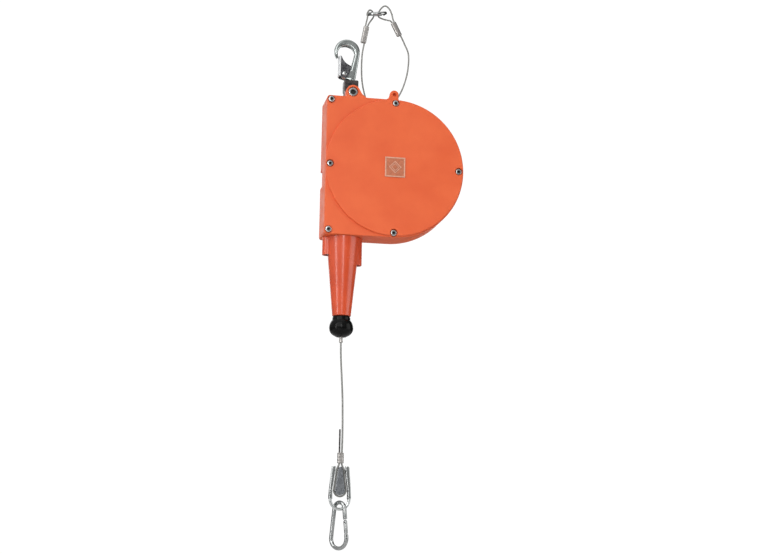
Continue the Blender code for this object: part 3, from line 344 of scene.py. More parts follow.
# Inside of a key socket: painted shade, dark as the deep recess would look
SOCKET_SHADE = finish("shadowed_steel", 0.6,
                (1.0, 3.0, (0.05, 0.045, 0.04), (0.015, 0.014, 0.014)), 0.5)
# Gate cheeks: pressed sheet with mottled plate, its zinc painted dark as shade
GATE_CHEEK_SHADE = finish("pressed_steel", 1.0,
                 (1.8, 6.0, (0.17, 0.17, 0.18), (0.045, 0.045, 0.05)), (1.2, 5.0, 0.26, 0.46),
                 [(0.8, 4.0, 0.03)], 0.12)
WIRE = rope_wire()
# The stripped tail: dark bare strands
BARE = finish("bare_wire", 0.9,
              (1.1, 4.0, (0.12, 0.115, 0.11), (0.02, 0.02, 0.02)), 0.36, [(0.4, 2.0, 0.03)], 0.10)
# Ferrules: soft aluminium with die marks and drawn scratches along the rope
ALUMINIUM = finish("pressed_aluminium", 1.0,
                   (4.0, 5.0, (0.49, 0.47, 0.45), (0.37, 0.355, 0.34)),
                   (2.4, 5.0, 0.32, 0.46, (1.0, 1.0, 0.15)),
                   [(1.6, 3.0, 0.012, (1.0, 1.0, 0.2))])
# Buffer: moulded rubber, dark with a low sheen
RUBBER = finish("black_rubber", 0.0,
                (4.0, 4.0, (0.006, 0.006, 0.006), (0.002, 0.002, 0.002)), (3.0, 5.0, 0.14, 0.24),
                [(0.8, 3.0, 0.008)], Specular_IOR_Level=0.12)
BADGE_LINE = badge_face("badge_line", (0.66, 0.36, 0.25))
BADGE_FIELD = badge_face("badge_field", (0.50, 0.155, 0.075))
BRONZE = plain_metal("bronze", (0.60, 0.42, 0.16), 0.34)
# Gate web: a brighter copy of the zinc, a painted highlight
GATE_WEB_HIGHLIGHT = plain_metal("bright_zinc", (0.86, 0.87, 0.88), 0.44)
SPRING = plain_metal("spring_steel", (0.27, 0.28, 0.31), 0.28)


# ---------------------------------------------------------------- shape tools

def arc(x, z, radius, start, end, steps):
    """Points on a round stretch, from start to end in degrees, both included."""
    angles = [math.radians(start + (end - start) * i / steps) for i in range(steps + 1)]
    return [(x + radius * math.cos(a), z + radius * math.sin(a)) for a in angles]


def rounding(radius, steps=5):
    """(inset, depth) pairs from the side wall round to the face, for an edge of that radius."""
    angles = [math.radians(90 * i / steps) for i in range(steps + 1)]
    return [(radius * (1 - math.cos(a)), radius * (1 - math.sin(a))) for a in angles]


def slab(front, back, radius, steps=5):
    """(inset, height) levels from front to back, with both edges rounded."""
    levels = [(inset, front + depth) for inset, depth in reversed(rounding(radius, steps))]
    return levels + [(inset, back - depth) for inset, depth in rounding(radius, steps)]


def loft(bm, rings, caps=True):
    """Skin over rings of equal count, closed at both ends unless caps is off."""
    made = [[bm.verts.new(p) for p in ring] for ring in rings]
    count = len(rings[0])
    for here, there in zip(made, made[1:]):
        for i in range(count):
            bm.faces.new((here[i], here[(i + 1) % count], there[(i + 1) % count], there[i]))
    if caps:
        bm.faces.new(made[0])
        bm.faces.new(list(reversed(made[-1])))


def inset_outline(outline, inset, limits=None):
    """The outline moved inwards by inset, point by point along its own normals, by no more than its limit."""
    points = [Vector(p) for p in outline]
    area = sum(a.x * b.y - b.x * a.y for a, b in zip(points, points[1:] + points[:1]))
    turn = 1.0 if area > 0 else -1.0
    moved = []
    for i, here in enumerate(points):
        before = (here - points[i - 1]).normalized()
        after = (points[(i + 1) % len(points)] - here).normalized()
        normals = [Vector((-d.y, d.x)) * turn for d in (before, after)]
        middle = (normals[0] + normals[1]).normalized()
        reach = min(inset, limits[i]) if limits else inset
        moved.append(tuple(here + middle * reach / max(middle.dot(normals[0]), 0.5)))
    return moved


def rounded_prism(bm, outline, front, back, radius=0.5, steps=4, limit_at=None):
    """Extrude an XZ outline along Y with rounded edges at both faces; limit_at(x, z) caps the inset."""
    limits = [limit_at(x, z) if limit_at else radius for x, z in outline]
    loft(bm, [[(x, y, z) for x, z in inset_outline(outline, inset, limits)]
              for inset, y in slab(front, back, radius, steps)])


AXES = {"Y": Matrix.Rotation(math.radians(-90), 3, "X"), "Z": Matrix.Identity(3),
        "X": Matrix.Rotation(math.radians(90), 3, "Y")}


def turned(bm, profile, centre, axis="Y", steps=64):
    """Turn a closed (radius, height) outline about an axis through centre; radius 0 is a pole."""
    columns = []
    for step in range(steps):
        angle = 2 * math.pi * step / steps
        column = []
        for index, (radius, height) in enumerate(profile):
            if radius == 0 and step:
                column.append(columns[0][index])
                continue
            spot = Vector((radius * math.cos(angle), radius * math.sin(angle), height))
            column.append(bm.verts.new(AXES[axis] @ spot + Vector(centre)))
        columns.append(column)
    count = len(profile)
    for step in range(steps):
        here, there = columns[step], columns[(step + 1) % steps]
        for index in range(count):
            after = (index + 1) % count
            if profile[index][0] == 0 and profile[after][0] == 0:
                continue
            corners = [here[index], here[after], there[after], there[index]]
            bm.faces.new(list(dict.fromkeys(corners)))


def rod(bm, radius, start, end, axis="Y", centre=(0, 0, 0), steps=32):
    """A plain cylinder from start to end along the axis, measured from centre."""
    turned(bm, [(0, start), (radius, start), (radius, end), (0, end)], centre, axis, steps)


def pin_profile(radius, reach, bevel):
    """Outline of a pin with bevelled ends, for turned()."""
    half = [(0, -reach), (radius - bevel, -reach), (radius, bevel - reach)]
    return half + [(r, -h) for r, h in reversed(half)]


def box(bm, low, high):
    """A block between two corners."""
    made = bmesh.ops.create_cube(bm, size=1.0)["verts"]
    low, high = Vector(low), Vector(high)
    for vert in made:
        vert.co = Vector([(low[i] + high[i]) / 2 + vert.co[i] * (high[i] - low[i]) for i in range(3)])


def path_length(path):
    return sum((b - a).length for a, b in zip(path, path[1:]))


def smooth_route(knots, step):
    """Points every step along a smooth curve through the knots."""
    knots = [Vector(k) for k in knots]
    ends = [2 * knots[0] - knots[1]] + knots + [2 * knots[-1] - knots[-2]]
    fine = []
    for i in range(1, len(ends) - 2):
        p0, p1, p2, p3 = ends[i - 1:i + 3]
        pieces = max(16, int((p2 - p1).length / step) * 4)
        for j in range(pieces):
            t = j / pieces
            fine.append(0.5 * (2 * p1 + (p2 - p0) * t + (2 * p0 - 5 * p1 + 4 * p2 - p3) * t * t
                               + (3 * p1 - p0 - 3 * p2 + p3) * t * t * t))
    fine.append(knots[-1])
    route, carried = [fine[0]], 0.0
    for before, after in zip(fine, fine[1:]):
        carried += (after - before).length
        if carried >= step:
            route.append(after)
            carried = 0.0
    if (route[-1] - fine[-1]).length < step / 2:
        route.pop()
    return route + [fine[-1]]


def carried_frames(points):
    """(point, side, up) along a path, turned as little as possible from one to the next."""
    frames = []
    side = None
    for i, here in enumerate(points):
        along = (points[min(i + 1, len(points) - 1)] - points[max(i - 1, 0)]).normalized()
        if side is None:
            side = along.orthogonal().normalized()
        side = (side - along * side.dot(along)).normalized()
        frames.append((here, side, along.cross(side)))
    return frames


def sweep(bm, points, radius_at, sides=16):
    """A capped bar along a path; radius_at(distance, angle, share) gives its radius."""
    points = [Vector(p) for p in points]
    total = path_length(points)
    rings, distance = [], 0.0
    for i, (here, side, up) in enumerate(carried_frames(points)):
        if i:
            distance += (here - points[i - 1]).length
        ring = []
        for s in range(sides):
            angle = 2 * math.pi * s / sides
            reach = radius_at(distance, angle, distance / total)
            ring.append(here + (side * math.cos(angle) + up * math.sin(angle)) * reach)
        rings.append(ring)
    loft(bm, rings)


def strands(radius, lay=9.0, count=6, depth=0.06):
    """Radius of a rope of twisted strands, for sweep()."""
    def radius_at(distance, angle, _):
        phase = count / 2 * (angle + 2 * math.pi * distance / lay)
        return radius * (1 - depth * (1 - abs(math.cos(phase))))
    return radius_at


def make(name, bm, surfaces, angle=35):
    """A mesh object in the frame's metres from a bmesh in the case's frame."""
    for vert in bm.verts:
        vert.co = put(vert.co)
    bmesh.ops.recalc_face_normals(bm, faces=bm.faces)
    if bm.calc_volume(signed=True) < 0:
        bmesh.ops.reverse_faces(bm, faces=bm.faces)
    mesh = bpy.data.meshes.new(name)
    bm.to_mesh(mesh)
    bm.free()
    mesh.shade_smooth()
    mesh.set_sharp_from_angle(angle=math.radians(angle))
    obj = bpy.data.objects.new(name, mesh)
    bpy.context.scene.collection.objects.link(obj)
    for surface in surfaces if isinstance(surfaces, tuple) else (surfaces,):
        mesh.materials.append(surface)
    return obj


def piece(name, surfaces, draw, *shape, angle=35):
    """A piece that is one shape: draw(bm, *shape)."""
    bm = bmesh.new()
    draw(bm, *shape)
    return make(name, bm, surfaces, angle)


def cut(obj, draw, *shape, join=False, angle=35):
    """Cut away, or join, what draw(bm, *shape) draws."""
    tool = piece(f"{obj.name}_tool", (), draw, *shape)
    change = obj.modifiers.new("cut", "BOOLEAN")
    change.operation = "UNION" if join else "DIFFERENCE"
    change.solver = "EXACT"
    change.object = tool
    bpy.context.view_layer.update()
    graph = bpy.context.evaluated_depsgraph_get()
    result = bpy.data.meshes.new_from_object(obj.evaluated_get(graph))
    obj.modifiers.clear()
    old = obj.data
    obj.data = result
    bpy.data.meshes.remove(old)
    bpy.data.objects.remove(tool)
    result.shade_smooth()
    result.set_sharp_from_angle(angle=math.radians(angle))


def seat(obj, body, slot, *nodes):
    """The piece rides on a body and stands for its CAD nodes, which it hides; slot is not used."""
    flatten = obj.modifiers.new("flat faces", "WEIGHTED_NORMAL")
    flatten.keep_sharp = True
    flatten.weight = 100
    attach(obj, body)
    if nodes:
        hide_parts(*nodes)
    return obj


# ---------------------------------------------------------------- case

def case_outline(inset=0.0):
    """The D: tight corners on the left, one half circle on the right."""
    half, left, corner = CASE_RADIUS - inset, CASE_LEFT + inset, max(CORNER_RADIUS - inset, 0.4)
    outline = arc(0, 0, half, -90, 90, 96)
    outline += arc(left + corner, half - corner, corner, 90, 180, 8)
    outline += arc(left + corner, corner - half, corner, 180, 270, 8)
    return outline


def case_rings(levels):
    """Rings of the D at (inset, y) levels."""
    return [[(x, y, z) for x, z in case_outline(inset)] for inset, y in levels]


def lug_outline(bottom):
    """Arch round the yoke bolt, upright on the left and running out in a slope on the right."""
    arch = arc(BOLT_X, BOLT_Z, LUG_RADIUS, 180, 35, 28)
    foot = BOLT_X + 14.5
    return [(BOLT_X - LUG_RADIUS, bottom)] + arch + [(BOLT_X + 10.0, 80.2), (foot, 76.8), (foot, bottom)]


def cover_eye_outline():
    """Small ear on the top edge of the cover, with a flared left foot."""
    ear = arc(-1.4, 82.0, 5.0, 25, 180, 24)
    return [(3.4, 74.0)] + ear + [(-7.4, 79.0), (-8.4, 77.6), (-10.0, 76.6), (-10.0, 74.0)]


def stepped_hole(tool, centre, head, shank, front, step, back, lip=0.35):
    """Counterbored hole whose mouth at front has a small rounded lip."""
    mouth = head + lip
    profile = [(0, front - 3), (mouth, front - 3), (mouth, front - 0.01),
               (head + lip * 0.3, front + lip * 0.3), (head, front + lip), (head, step), (shank, step),
               (shank, back), (0, back)]
    turned(tool, profile, centre, "Y", 48)


def front_cover():
    levels = rounding(0.9)[::-1] + [(0.0, COVER_THICKNESS - 0.3), (0.3, COVER_THICKNESS)]
    obj = piece("cover_shell", ORANGE, loft, case_rings(levels))

    def screw_holes(tool):
        for place, (x, z) in COVER_SCREWS.items():
            on_disc = place in ("top", "right", "bottom", "left")
            stepped_hole(tool, (x, 0, z), SCREW_POCKET_RADIUS, 2.3, -DISC_HEIGHT if on_disc else 0.0,
                         SCREW_POCKET_DEPTH, 8.0)

    def other_holes(tool):
        rod(tool, 2.0, -1.0, COVER_THICKNESS - 0.8, "Y", (-1.4, 0, 82.0), 32)
        stepped_hole(tool, BOLT_AXIS, BOLT_HEAD_RADIUS + 0.5, BOLT_HEAD_RADIUS + 0.4, 0.0, 4.5, 6.0)
        rod(tool, ARBOR_RADIUS + GAP, 0.0, 6.0)

    rim = [(DISC_RADIUS - inset, depth - DISC_HEIGHT) for inset, depth in rounding(0.8)]
    disc = [(0, 2.0), (DISC_RADIUS, 2.0)] + rim + [(0, -DISC_HEIGHT)]
    pocket = [(12, 0.8), (64, 0.8), (64, 6.0), (12, 6.0)]
    cut(obj, turned, disc, (0, 0, 0), "Y", 192, join=True)
    cut(obj, rounded_prism, cover_eye_outline(), 0.02, COVER_THICKNESS - 0.02, 0.8, join=True)
    cut(obj, rounded_prism, lug_outline(74.0), 0.02, COVER_THICKNESS - 0.02, 0.9, join=True)
    cut(obj, turned, pocket, (0, 0, 0), "Y", 64)
    cut(obj, screw_holes)
    cut(obj, other_holes)
    return seat(obj, "housing", "case_orange", "front_cover")


def rear_housing():
    levels = [(WALL, INNER_BACK), (WALL, BODY_FRONT), (0.25, BODY_FRONT), (0.0, BODY_FRONT + 0.25)]
    levels += [(inset, CASE_DEPTH - depth) for inset, depth in rounding(2.6, 7)]
    obj = piece("housing_shell", ORANGE, loft, case_rings(levels))

    def lugs(tool):
        rounded_prism(tool, lug_outline(74.2), BODY_FRONT + 0.02, LUG_FRONT_END, 0.8)
        rounded_prism(tool, lug_outline(74.2), LUG_REAR_START, LUG_REAR_END, 0.8)

    def holes(tool):
        stepped_hole(tool, BOLT_AXIS, BOLT_HEAD_RADIUS + 0.5, BOLT_RADIUS + GAP, BODY_FRONT,
                     7.2, CASE_DEPTH)
        box(tool, (ROPE_X - 5, 9.0, -84.0), (ROPE_X + 5, 31.0, -70.0))
        rod(tool, 5.2, -80.0, -69.0, "X", (0, WORM_Y, WORM_Z), 40)

    outline = [(CASE_DEPTH - 1.5, 62.0), (CASE_DEPTH - 1.5, 76.0), (44.0, 76.3)]
    outline += arc(EYE_Y, EYE_Z, 5.0, 70, -70, 20) + [(43.0, 64.0)]
    rope_eye = [[(EYE_X + x, y, z) for y, z in inset_outline(outline, inset)]
                for inset, x in slab(-3.0, 3.0, 0.8)]
    flare = [(2.6 + 0.8 * (abs(k) / 3) ** 3, k) for k in (-3.2, -2.4, -1.2, 0.0, 1.2, 2.4, 3.2)]
    notch_end = (CASE_LEFT + NOTCH_DEPTH, CASE_DEPTH + 2, NOTCH_TOP)
    cut(obj, lugs, join=True)
    cut(obj, loft, rope_eye, join=True)
    cut(obj, turned, [(0, -3.2)] + flare + [(0, 3.2)], (EYE_X, EYE_Y, EYE_Z), "X", 40)
    cut(obj, box, (-90, NOTCH_FRONT, NOTCH_BOTTOM), notch_end)
    cut(obj, holes)
    return seat(obj, "housing", "case_orange", "rear_housing")


def hex_socket_head(bm, centre, head_radius, head_height, key, length, shank, axis="Y"):
    """Cap screw with a rounded rim and a chamfered hexagon socket; its face is at height 0."""
    profile = [(head_radius - 0.02, head_height), (head_radius, head_height - 0.1), (head_radius, 0.9)]
    profile += [(head_radius - inset, depth) for inset, depth in rounding(0.75)]
    profile += [(key * 1.22, 0.0), (key * 1.14, 0.25)]
    count = 48
    columns = []
    for step in range(count):
        angle = 2 * math.pi * step / count
        flat = key / math.cos((angle + math.pi / 6) % (math.pi / 3) - math.pi / 6)
        columns.append([AXES[axis] @ Vector((r * math.cos(angle), r * math.sin(angle), h)) + Vector(centre)
                        for r, h in profile + [(flat, 0.3), (flat, 2.0)]])
    rows = [[bm.verts.new(corner) for corner in level] for level in zip(*columns)]
    for level, (here, there) in enumerate(zip(rows, rows[1:]), 1):
        for s in range(count):
            face = bm.faces.new((here[s], here[(s + 1) % count], there[(s + 1) % count], there[s]))
            # The socket's walls and floor take the second material, painted shade
            face.material_index = int(level >= len(profile))
    bm.faces.new(rows[0])
    bm.faces.new(list(reversed(rows[-1]))).material_index = 1
    rod(bm, shank, head_height - 0.01, length, axis, centre, 24)


def cover_screws():
    for place, (x, z) in COVER_SCREWS.items():
        centre = (x, SCREW_POCKET_DEPTH - GAP - 2.8, z)
        screw = piece(f"cap_screw_{place}", (ZINC, SOCKET_SHADE), hex_socket_head, centre, SCREW_HEAD_RADIUS, 2.8,
                      1.35, 14.0, 2.0)
        seat(screw, "housing", "dark_steel", f"cover_screw_{place}")


def badge():
    """Plain square plate: raised border, flat field and two plain raised diamonds, open at the back."""
    half, front = 11.0, -DISC_HEIGHT - GAP

    def square(size, y):
        return [(-size, y, -size), (size, y, -size), (size, y, size), (-size, y, size)]

    border = [square(half, front + 0.28), square(half, front - 0.6), square(half - 0.3, front - 0.9),
              square(half - 1.1, front - 0.9), square(half - 1.4, front - 0.5)]
    seat(piece("badge_border", BADGE_LINE, loft, border), "housing", "badge_plastic", "badge")
    field = [square(half - 1.42, front - 0.3), square(half - 1.42, front - 0.52)]
    seat(piece("badge_field", BADGE_FIELD, loft, field), "housing", "badge_plastic")
    bm = bmesh.new()
    for turn in (6.8, 4.2):
        outer = [(turn, 0), (0, turn), (-turn, 0), (0, -turn)]
        inner = [(x * 0.84, z * 0.84) for x, z in outer]
        loft(bm, [[(x, y, z) for x, z in edge] for edge, y in (
            (outer, front - 0.5), (outer, front - 0.85), (inner, front - 0.85), (inner, front - 0.5))], False)
    seat(make("badge_pattern", bm, BADGE_LINE), "housing", "badge_plastic")


# ---------------------------------------------------------------- nozzle and buffer

def nozzle():
    top, tip = NOZZLE_TOP, NOZZLE_TIP
    profile = [(12.0, top), (NOZZLE_TOP_RADIUS, top)]
    profile += [(NOZZLE_TIP_RADIUS - inset, tip + depth) for inset, depth in rounding(0.9)]
    profile += [(6.3, tip), (6.3, BUSH_TOP), (5.0, BUSH_TOP)]
    obj = piece("nozzle_shell", RED, turned, profile, ROPE_AXIS, "Z", 96)

    def bosses(tool):
        for x, lower in NOZZLE_BOSSES.values():
            foot = [(NOZZLE_BOSS_RADIUS - inset, lower + depth) for inset, depth in rounding(0.5)]
            turned(tool, [(0, top), (NOZZLE_BOSS_RADIUS, top)] + foot + [(0, lower)], (x, MID_Y, 0), "Z", 48)

    def web(tool):
        """Flat-sided web between the cone and the right boss."""
        x, lower = NOZZLE_BOSSES["right"]
        for z in (top - 0.2, lower + 0.8):
            cone = NOZZLE_TOP_RADIUS + (NOZZLE_TIP_RADIUS - NOZZLE_TOP_RADIUS) * (top - z) / (top - tip)
            for centre, radius in ((ROPE_X, cone - 0.3), (x, NOZZLE_BOSS_RADIUS - 0.1)):
                for corner in arc(centre, MID_Y, radius, -90, 90, 24):
                    tool.verts.new((*corner, z))
        hull = bmesh.ops.convex_hull(tool, input=tool.verts)
        bmesh.ops.delete(tool, geom=list({*hull["geom_interior"], *hull["geom_unused"]}), context="VERTS")

    def screw_bores(tool):
        for x, lower in NOZZLE_BOSSES.values():
            turned(tool, [(0, lower - 1), (3.9, lower - 1), (3.9, lower + 4), (2.3, lower + 4),
                          (2.3, top + 1), (0, top + 1)], (x, MID_Y, 0), "Z", 32)

    bore = [(0, top + 1), (11.6, top + 1), (11.6, top - 1), (4.8, BUSH_TOP + 1), (0, BUSH_TOP + 1)]
    cut(obj, bosses, join=True)
    cut(obj, web, join=True)
    cut(obj, turned, bore, ROPE_AXIS, "Z", 48)
    cut(obj, screw_bores)
    return seat(obj, "housing", "nozzle_red", "nozzle")


def nozzle_screws():
    for side, (x, lower) in NOZZLE_BOSSES.items():
        head = lower + 0.5
        screw = piece(f"boss_screw_{side}", (ZINC, SOCKET_SHADE), hex_socket_head, (x, MID_Y, head), 3.5, 3.2, 1.5,
                      BOSS_SCREW_END - head, 2.0, "Z")
        seat(screw, "housing", "zinc", f"nozzle_screw_{side}")


def rope_buffer():
    """Rubber ball: a short neck under the nozzle, a full belly with a moulding line and a flat foot."""
    bore = ROPE_RADIUS + GAP
    swell = []
    for a in range(-45, 63, 3):
        seam = 0.12 * max(0.0, 1 - abs(a) / 3)
        swell.append(((BUFFER_RADIUS - 0.12) * math.cos(math.radians(a)) ** 0.8 + seam,
                      BUFFER_MIDDLE - (12.0 if a < 0 else 9.6) * math.sin(math.radians(a))))
    profile = [(bore, BUFFER_TOP), (8.8, BUFFER_TOP), (9.2, BUFFER_TOP - 0.4), (9.6, BUFFER_TOP - 1.6)]
    profile += swell + [(5.2, BUFFER_BOTTOM), (2.2, BUFFER_BOTTOM), (bore, BUFFER_BOTTOM + 0.6)]
    ball = piece("rubber_ball", RUBBER, turned, profile, ROPE_AXIS, "Z", 96, angle=50)
    seat(ball, "rope_end", "rubber", "ball_buffer")

    low, high = SLEEVE_BOTTOM, BUFFER_BOTTOM - GAP
    waist = [(2.1 - 0.22 * math.sin(math.pi * k / 8) ** 2, high + (low - high) * k / 8) for k in range(9)]
    profile = [(bore, low), (bore, high), (1.9, high)] + waist + [(1.85, low)]
    sleeve = piece("stop_sleeve", ALUMINIUM, turned, profile, ROPE_AXIS, "Z", 40)
    seat(sleeve, "rope_end", "aluminium", "buffer_sleeve")


# ---------------------------------------------------------------- ropes

def rope(name, points, radius, surface, body, nodes, lay=9.0, depth=0.10):
    """A stranded rope along points, riding on a body; returns it and its path in the frame's metres."""
    obj = piece(name, surface, sweep, points, strands(radius, lay, 6, depth), 24, angle=60)
    if body:
        seat(obj, body, "rope_steel", *nodes)
    return obj, [put(p) for p in points]


def hanging_rope():
    live_x = END_X + STRAND_OFFSET
    route = [(ROPE_X, MID_Y, ROPE_JOIN_Z), (ROPE_X, MID_Y, -177), (ROPE_X, MID_Y, SLEEVE_BOTTOM),
             (ROPE_X + 0.5, MID_Y, -207), (ROPE_X + 1.9, MID_Y, -228), (ROPE_X + 3.1, MID_Y, -248),
             (ROPE_X + 3.7, MID_Y, -268), (live_x + 0.2, MID_Y, -288), (live_x, MID_Y, FERRULE_TOP),
             (live_x, MID_Y, -311.4)]
    return rope("lift_rope", smooth_route(route, 0.7), ROPE_RADIUS, WIRE, "rope_end", ["rope_hanging"])


def end_loop():
    live_x = END_X + STRAND_OFFSET
    lean = LOOP_RADIUS - 3.2
    right = [(live_x, -312.0), (live_x, -317.4), (END_X + 3.3, WEDGE_TOP - 0.5),
             (END_X + 3.3 + lean * 0.45, -333.5)]
    bend = arc(END_X, WEDGE_Z, LOOP_RADIUS, 2, -182, 14)
    left = [(2 * END_X - x, z) for x, z in reversed(right)]
    tail = [(END_X - STRAND_OFFSET, -300.0), (END_X - STRAND_OFFSET, TAIL_TOP)]
    points = smooth_route([(x, MID_Y, z) for x, z in right + bend + left + tail], 0.7)
    split = next(i for i, p in enumerate(points) if i > len(points) / 2 and p.z > FERRULE_BOTTOM + 2.0)
    loop, path = rope("end_loop", points[:split], ROPE_RADIUS, WIRE, "rope_end", ["rope_loop"])
    stripped, _ = rope("stripped_tail", points[split - 1:], ROPE_RADIUS * 0.92, BARE, "rope_end", [],
                       6.0, 0.2)
    return loop, path, stripped


def feed_rope():
    """From the drum down the nozzle; only its last stretch, inside the bush, lengthens as the end travels."""
    route = [(ROPE_X, y, z) for y, z in (
        (8.2, -2.0), (8.4, -16.0), (MID_Y - 9.0, -40), (MID_Y - 4.5, -85), (MID_Y - 0.6, -125),
        (MID_Y, BUSH_TOP), (MID_Y, ROPE_JOIN_Z + GAP))]
    obj, _ = rope("feed_rope", smooth_route(route, 0.9), ROPE_RADIUS, WIRE, None, [])
    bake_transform(obj)
    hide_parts("rope_feed")


def pressed_sleeve(name, start, end, side, rope_radius, wall, reach, body, node, dents=3):
    """Oval ferrule over two strands side by side, with rounded ends and crimped waists."""
    start, end, side = Vector(start), Vector(end), Vector(side).normalized()
    along = (end - start).normalized()
    side = (side - along * side.dot(along)).normalized()
    other = along.cross(side)
    length = (end - start).length
    bore, outer = rope_radius + 0.12, rope_radius + GAP + wall

    def oval(radius, height):
        ring = arc(reach, 0, radius, -90, 90, 16) + arc(-reach, 0, radius, 90, 270, 16)
        return [start + side * x + other * z + along * height for x, z in ring]

    edge = rounding(0.5)
    rings = [oval(bore, 0.6), oval(bore + 0.3, 0.0)]
    rings += [oval(outer - inset, depth) for inset, depth in reversed(edge)]
    for k in range(1, 40):
        share = k / 40
        phase = math.pi * (2 * dents * share - dents + (dents + 1) % 2)
        squeeze = 0.10 * max(0.0, math.cos(phase)) ** 0.6
        rings.append(oval(outer - squeeze, 0.5 + (length - 1.0) * share))
    rings += [oval(outer - inset, length - depth) for inset, depth in edge]
    rings += [oval(bore + 0.3, length), oval(bore, length - 0.6)]
    bm = bmesh.new()
    loft(bm, rings + [rings[0]], caps=False)
    bmesh.ops.remove_doubles(bm, verts=bm.verts, dist=0.001)
    return seat(make(name, bm, ALUMINIUM, 50), body, "aluminium", node)


# ---------------------------------------------------------------- yoke and suspension hook

def yoke():
    half, top = YOKE_HALF_WIDTH, YOKE_TOP
    side = [(half, 87.4), (half, top - 1.2), (half - 0.3, top - 0.5), (half - 1.2, top)]
    outline = arc(0, BOLT_Z, YOKE_FOOT_RADIUS, 180, 360, 32) + side + [(-x, z) for x, z in reversed(side)]
    outline = [(BOLT_X + x, z) for x, z in outline]
    obj = piece("yoke_block", BURNISHED, rounded_prism, outline, MID_Y - YOKE_HALF_DEPTH,
                MID_Y + YOKE_HALF_DEPTH, 1.0)

    def bores(tool):
        rod(tool, BOLT_RADIUS + GAP, 0, 40, "Y", BOLT_AXIS, 32)
        turned(tool, [(0, SHANK_BOTTOM - 0.4), (4.3, SHANK_BOTTOM - 0.4), (4.3, top - 0.5), (4.9, top + 0.1),
                      (4.9, top + 2), (0, top + 2)], SWIVEL_AXIS, "Z", 40)

    cut(obj, bores)
    cut(obj, rod, 1.5, -12, 12, "X", RETAINER_CENTRE, 24)
    seat(obj, "swivel", "dark_steel", "yoke")


def yoke_fasteners():
    """The pin that holds the hook's shank, and the pivot bolt with its nut."""
    retainer = piece("retainer_pin", ZINC, turned, pin_profile(1.2, YOKE_HALF_WIDTH - 0.3, 0.3),
                     RETAINER_CENTRE, "X", 24)
    seat(retainer, "swivel", "dark_steel", "swivel_retainer")
    bolt = piece("pivot_bolt", (ZINC, SOCKET_SHADE), hex_socket_head, (BOLT_X, 0.9, BOLT_Z), BOLT_HEAD_RADIUS, 6.0,
                 2.5, 40.0, BOLT_RADIUS)
    seat(bolt, "housing", "dark_steel", "yoke_bolt")
    near, far = LUG_REAR_END + GAP, LUG_REAR_END + 5.0
    hexagon = arc(BOLT_X, BOLT_Z, 5.7, 0, 300, 5)
    nut = piece("pivot_nut", BURNISHED, rounded_prism, hexagon, near, far, 0.4)
    cut(nut, rod, BOLT_RADIUS + GAP, near - 2, far + 2, "Y", BOLT_AXIS, 32)
    seat(nut, "housing", "zinc", "yoke_nut")


def hook_outline():
    outer = arc(*HOOK_OUTER, 217, -8, 72)
    inner = arc(*HOOK_INNER, -5, 205, 60)
    hub = arc(GATE_X, GATE_Z, GATE_HUB_RADIUS, 250, 60, 32)
    base = [(-41.8, HOOK_BASE_Z + 1.8), (-43.6, HOOK_BASE_Z), (-53.4, HOOK_BASE_Z)]
    return outer + base + hub + [(-47.6, 112.5)] + inner


def suspension_hook():
    """Forged hook: chamfered bar, turned shank with its retaining groove, slot for the gate spring."""
    nose = Vector((-62.1, 125.1))

    def thin_nose(x, z):
        return 0.6 + 0.2 * (Vector((x, z)) - nose).length

    # The hook's zinc is darkened as painted shade
    obj = piece("forged_hook", HOOK_ZINC_SHADED, rounded_prism, hook_outline(), MID_Y - HOOK_HALF_DEPTH,
                MID_Y + HOOK_HALF_DEPTH, 2.2, 6, thin_nose, angle=40)
    radius, low, groove = SHANK_RADIUS, SHANK_BOTTOM, 2.7
    shank = [(0, low), (radius - 0.5, low), (radius, low + 0.5), (radius, RETAINER_Z - 1.7),
             (groove, RETAINER_Z - 1.6), (groove, RETAINER_Z + 1.6), (radius, RETAINER_Z + 1.7),
             (radius, HOOK_BASE_Z + 2.5), (0, HOOK_BASE_Z + 2.5)]
    cut(obj, turned, shank, SWIVEL_AXIS, "Z", 48, join=True, angle=40)
    cut(obj, rod, *RIVET_BORE, angle=40)
    cut(obj, box, (-64, MID_Y - 1.5, 102.6), (-51.4, MID_Y + 1.5, 112.0), angle=40)
    return seat(obj, "hook", "zinc", "suspension_hook")


def hook_gate():
    """Pressed gate: two cheeks painted dark as shade and a rounded web on the outside painted bright as a
    highlight.
    """
    left, right = -60.7, -59.7
    curve = [(-47.9, 112.0), (-47.3, 115.9), (-48.6, 116.6), (-50.6, 117.6), (-52.4, 118.7), (-54.0, 120.0),
             (-55.4, 121.6), (-56.6, 123.5), (-57.5, 125.4), (-58.2, 127.0)]
    lower = [(left, 105.0), (-60.0, 103.9), (-58.6, 102.9)] + arc(GATE_X, GATE_Z, 4.7, 245, 300, 12)
    outline = lower + [(-50.2, 103.9), (-48.6, 108.5)] + curve + [(-59.6, 127.2), (left, 126.2)]
    inner, outer = 4.15, 4.7
    bm = bmesh.new()
    for side in (-1, 1):
        near, far = sorted((MID_Y + side * inner, MID_Y + side * outer))
        rounded_prism(bm, outline, near, far, 0.25, 3)
    # The cheeks take zinc painted dark as shade
    cheeks = make("gate_cheeks", bm, GATE_CHEEK_SHADE)
    cut(cheeks, rod, *RIVET_BORE)
    seat(cheeks, "gate", "zinc", "hook_gate")
    wrap, lip = left + 2.0, outer + 0.35
    profile = [(wrap, MID_Y - outer), (wrap - 0.3, MID_Y - lip)]
    profile += [(left - 0.3 + 0.3 * (abs(k) / 6) ** 3, MID_Y + k * lip / 6) for k in range(-6, 7)]
    profile += [(wrap - 0.3, MID_Y + lip), (wrap, MID_Y + outer), (right, MID_Y + outer - 0.2),
                (right, MID_Y - outer + 0.2)]
    levels = [(104.2, 0.2), (104.6, 0.0), (125.9, 0.0), (126.9, 0.15)]
    rings = [[(x + (shift if x < right else 0), y, z) for x, y in profile] for z, shift in levels]
    # The web takes zinc painted bright as a highlight
    seat(piece("gate_web", GATE_WEB_HIGHLIGHT, loft, rings), "gate", "zinc")


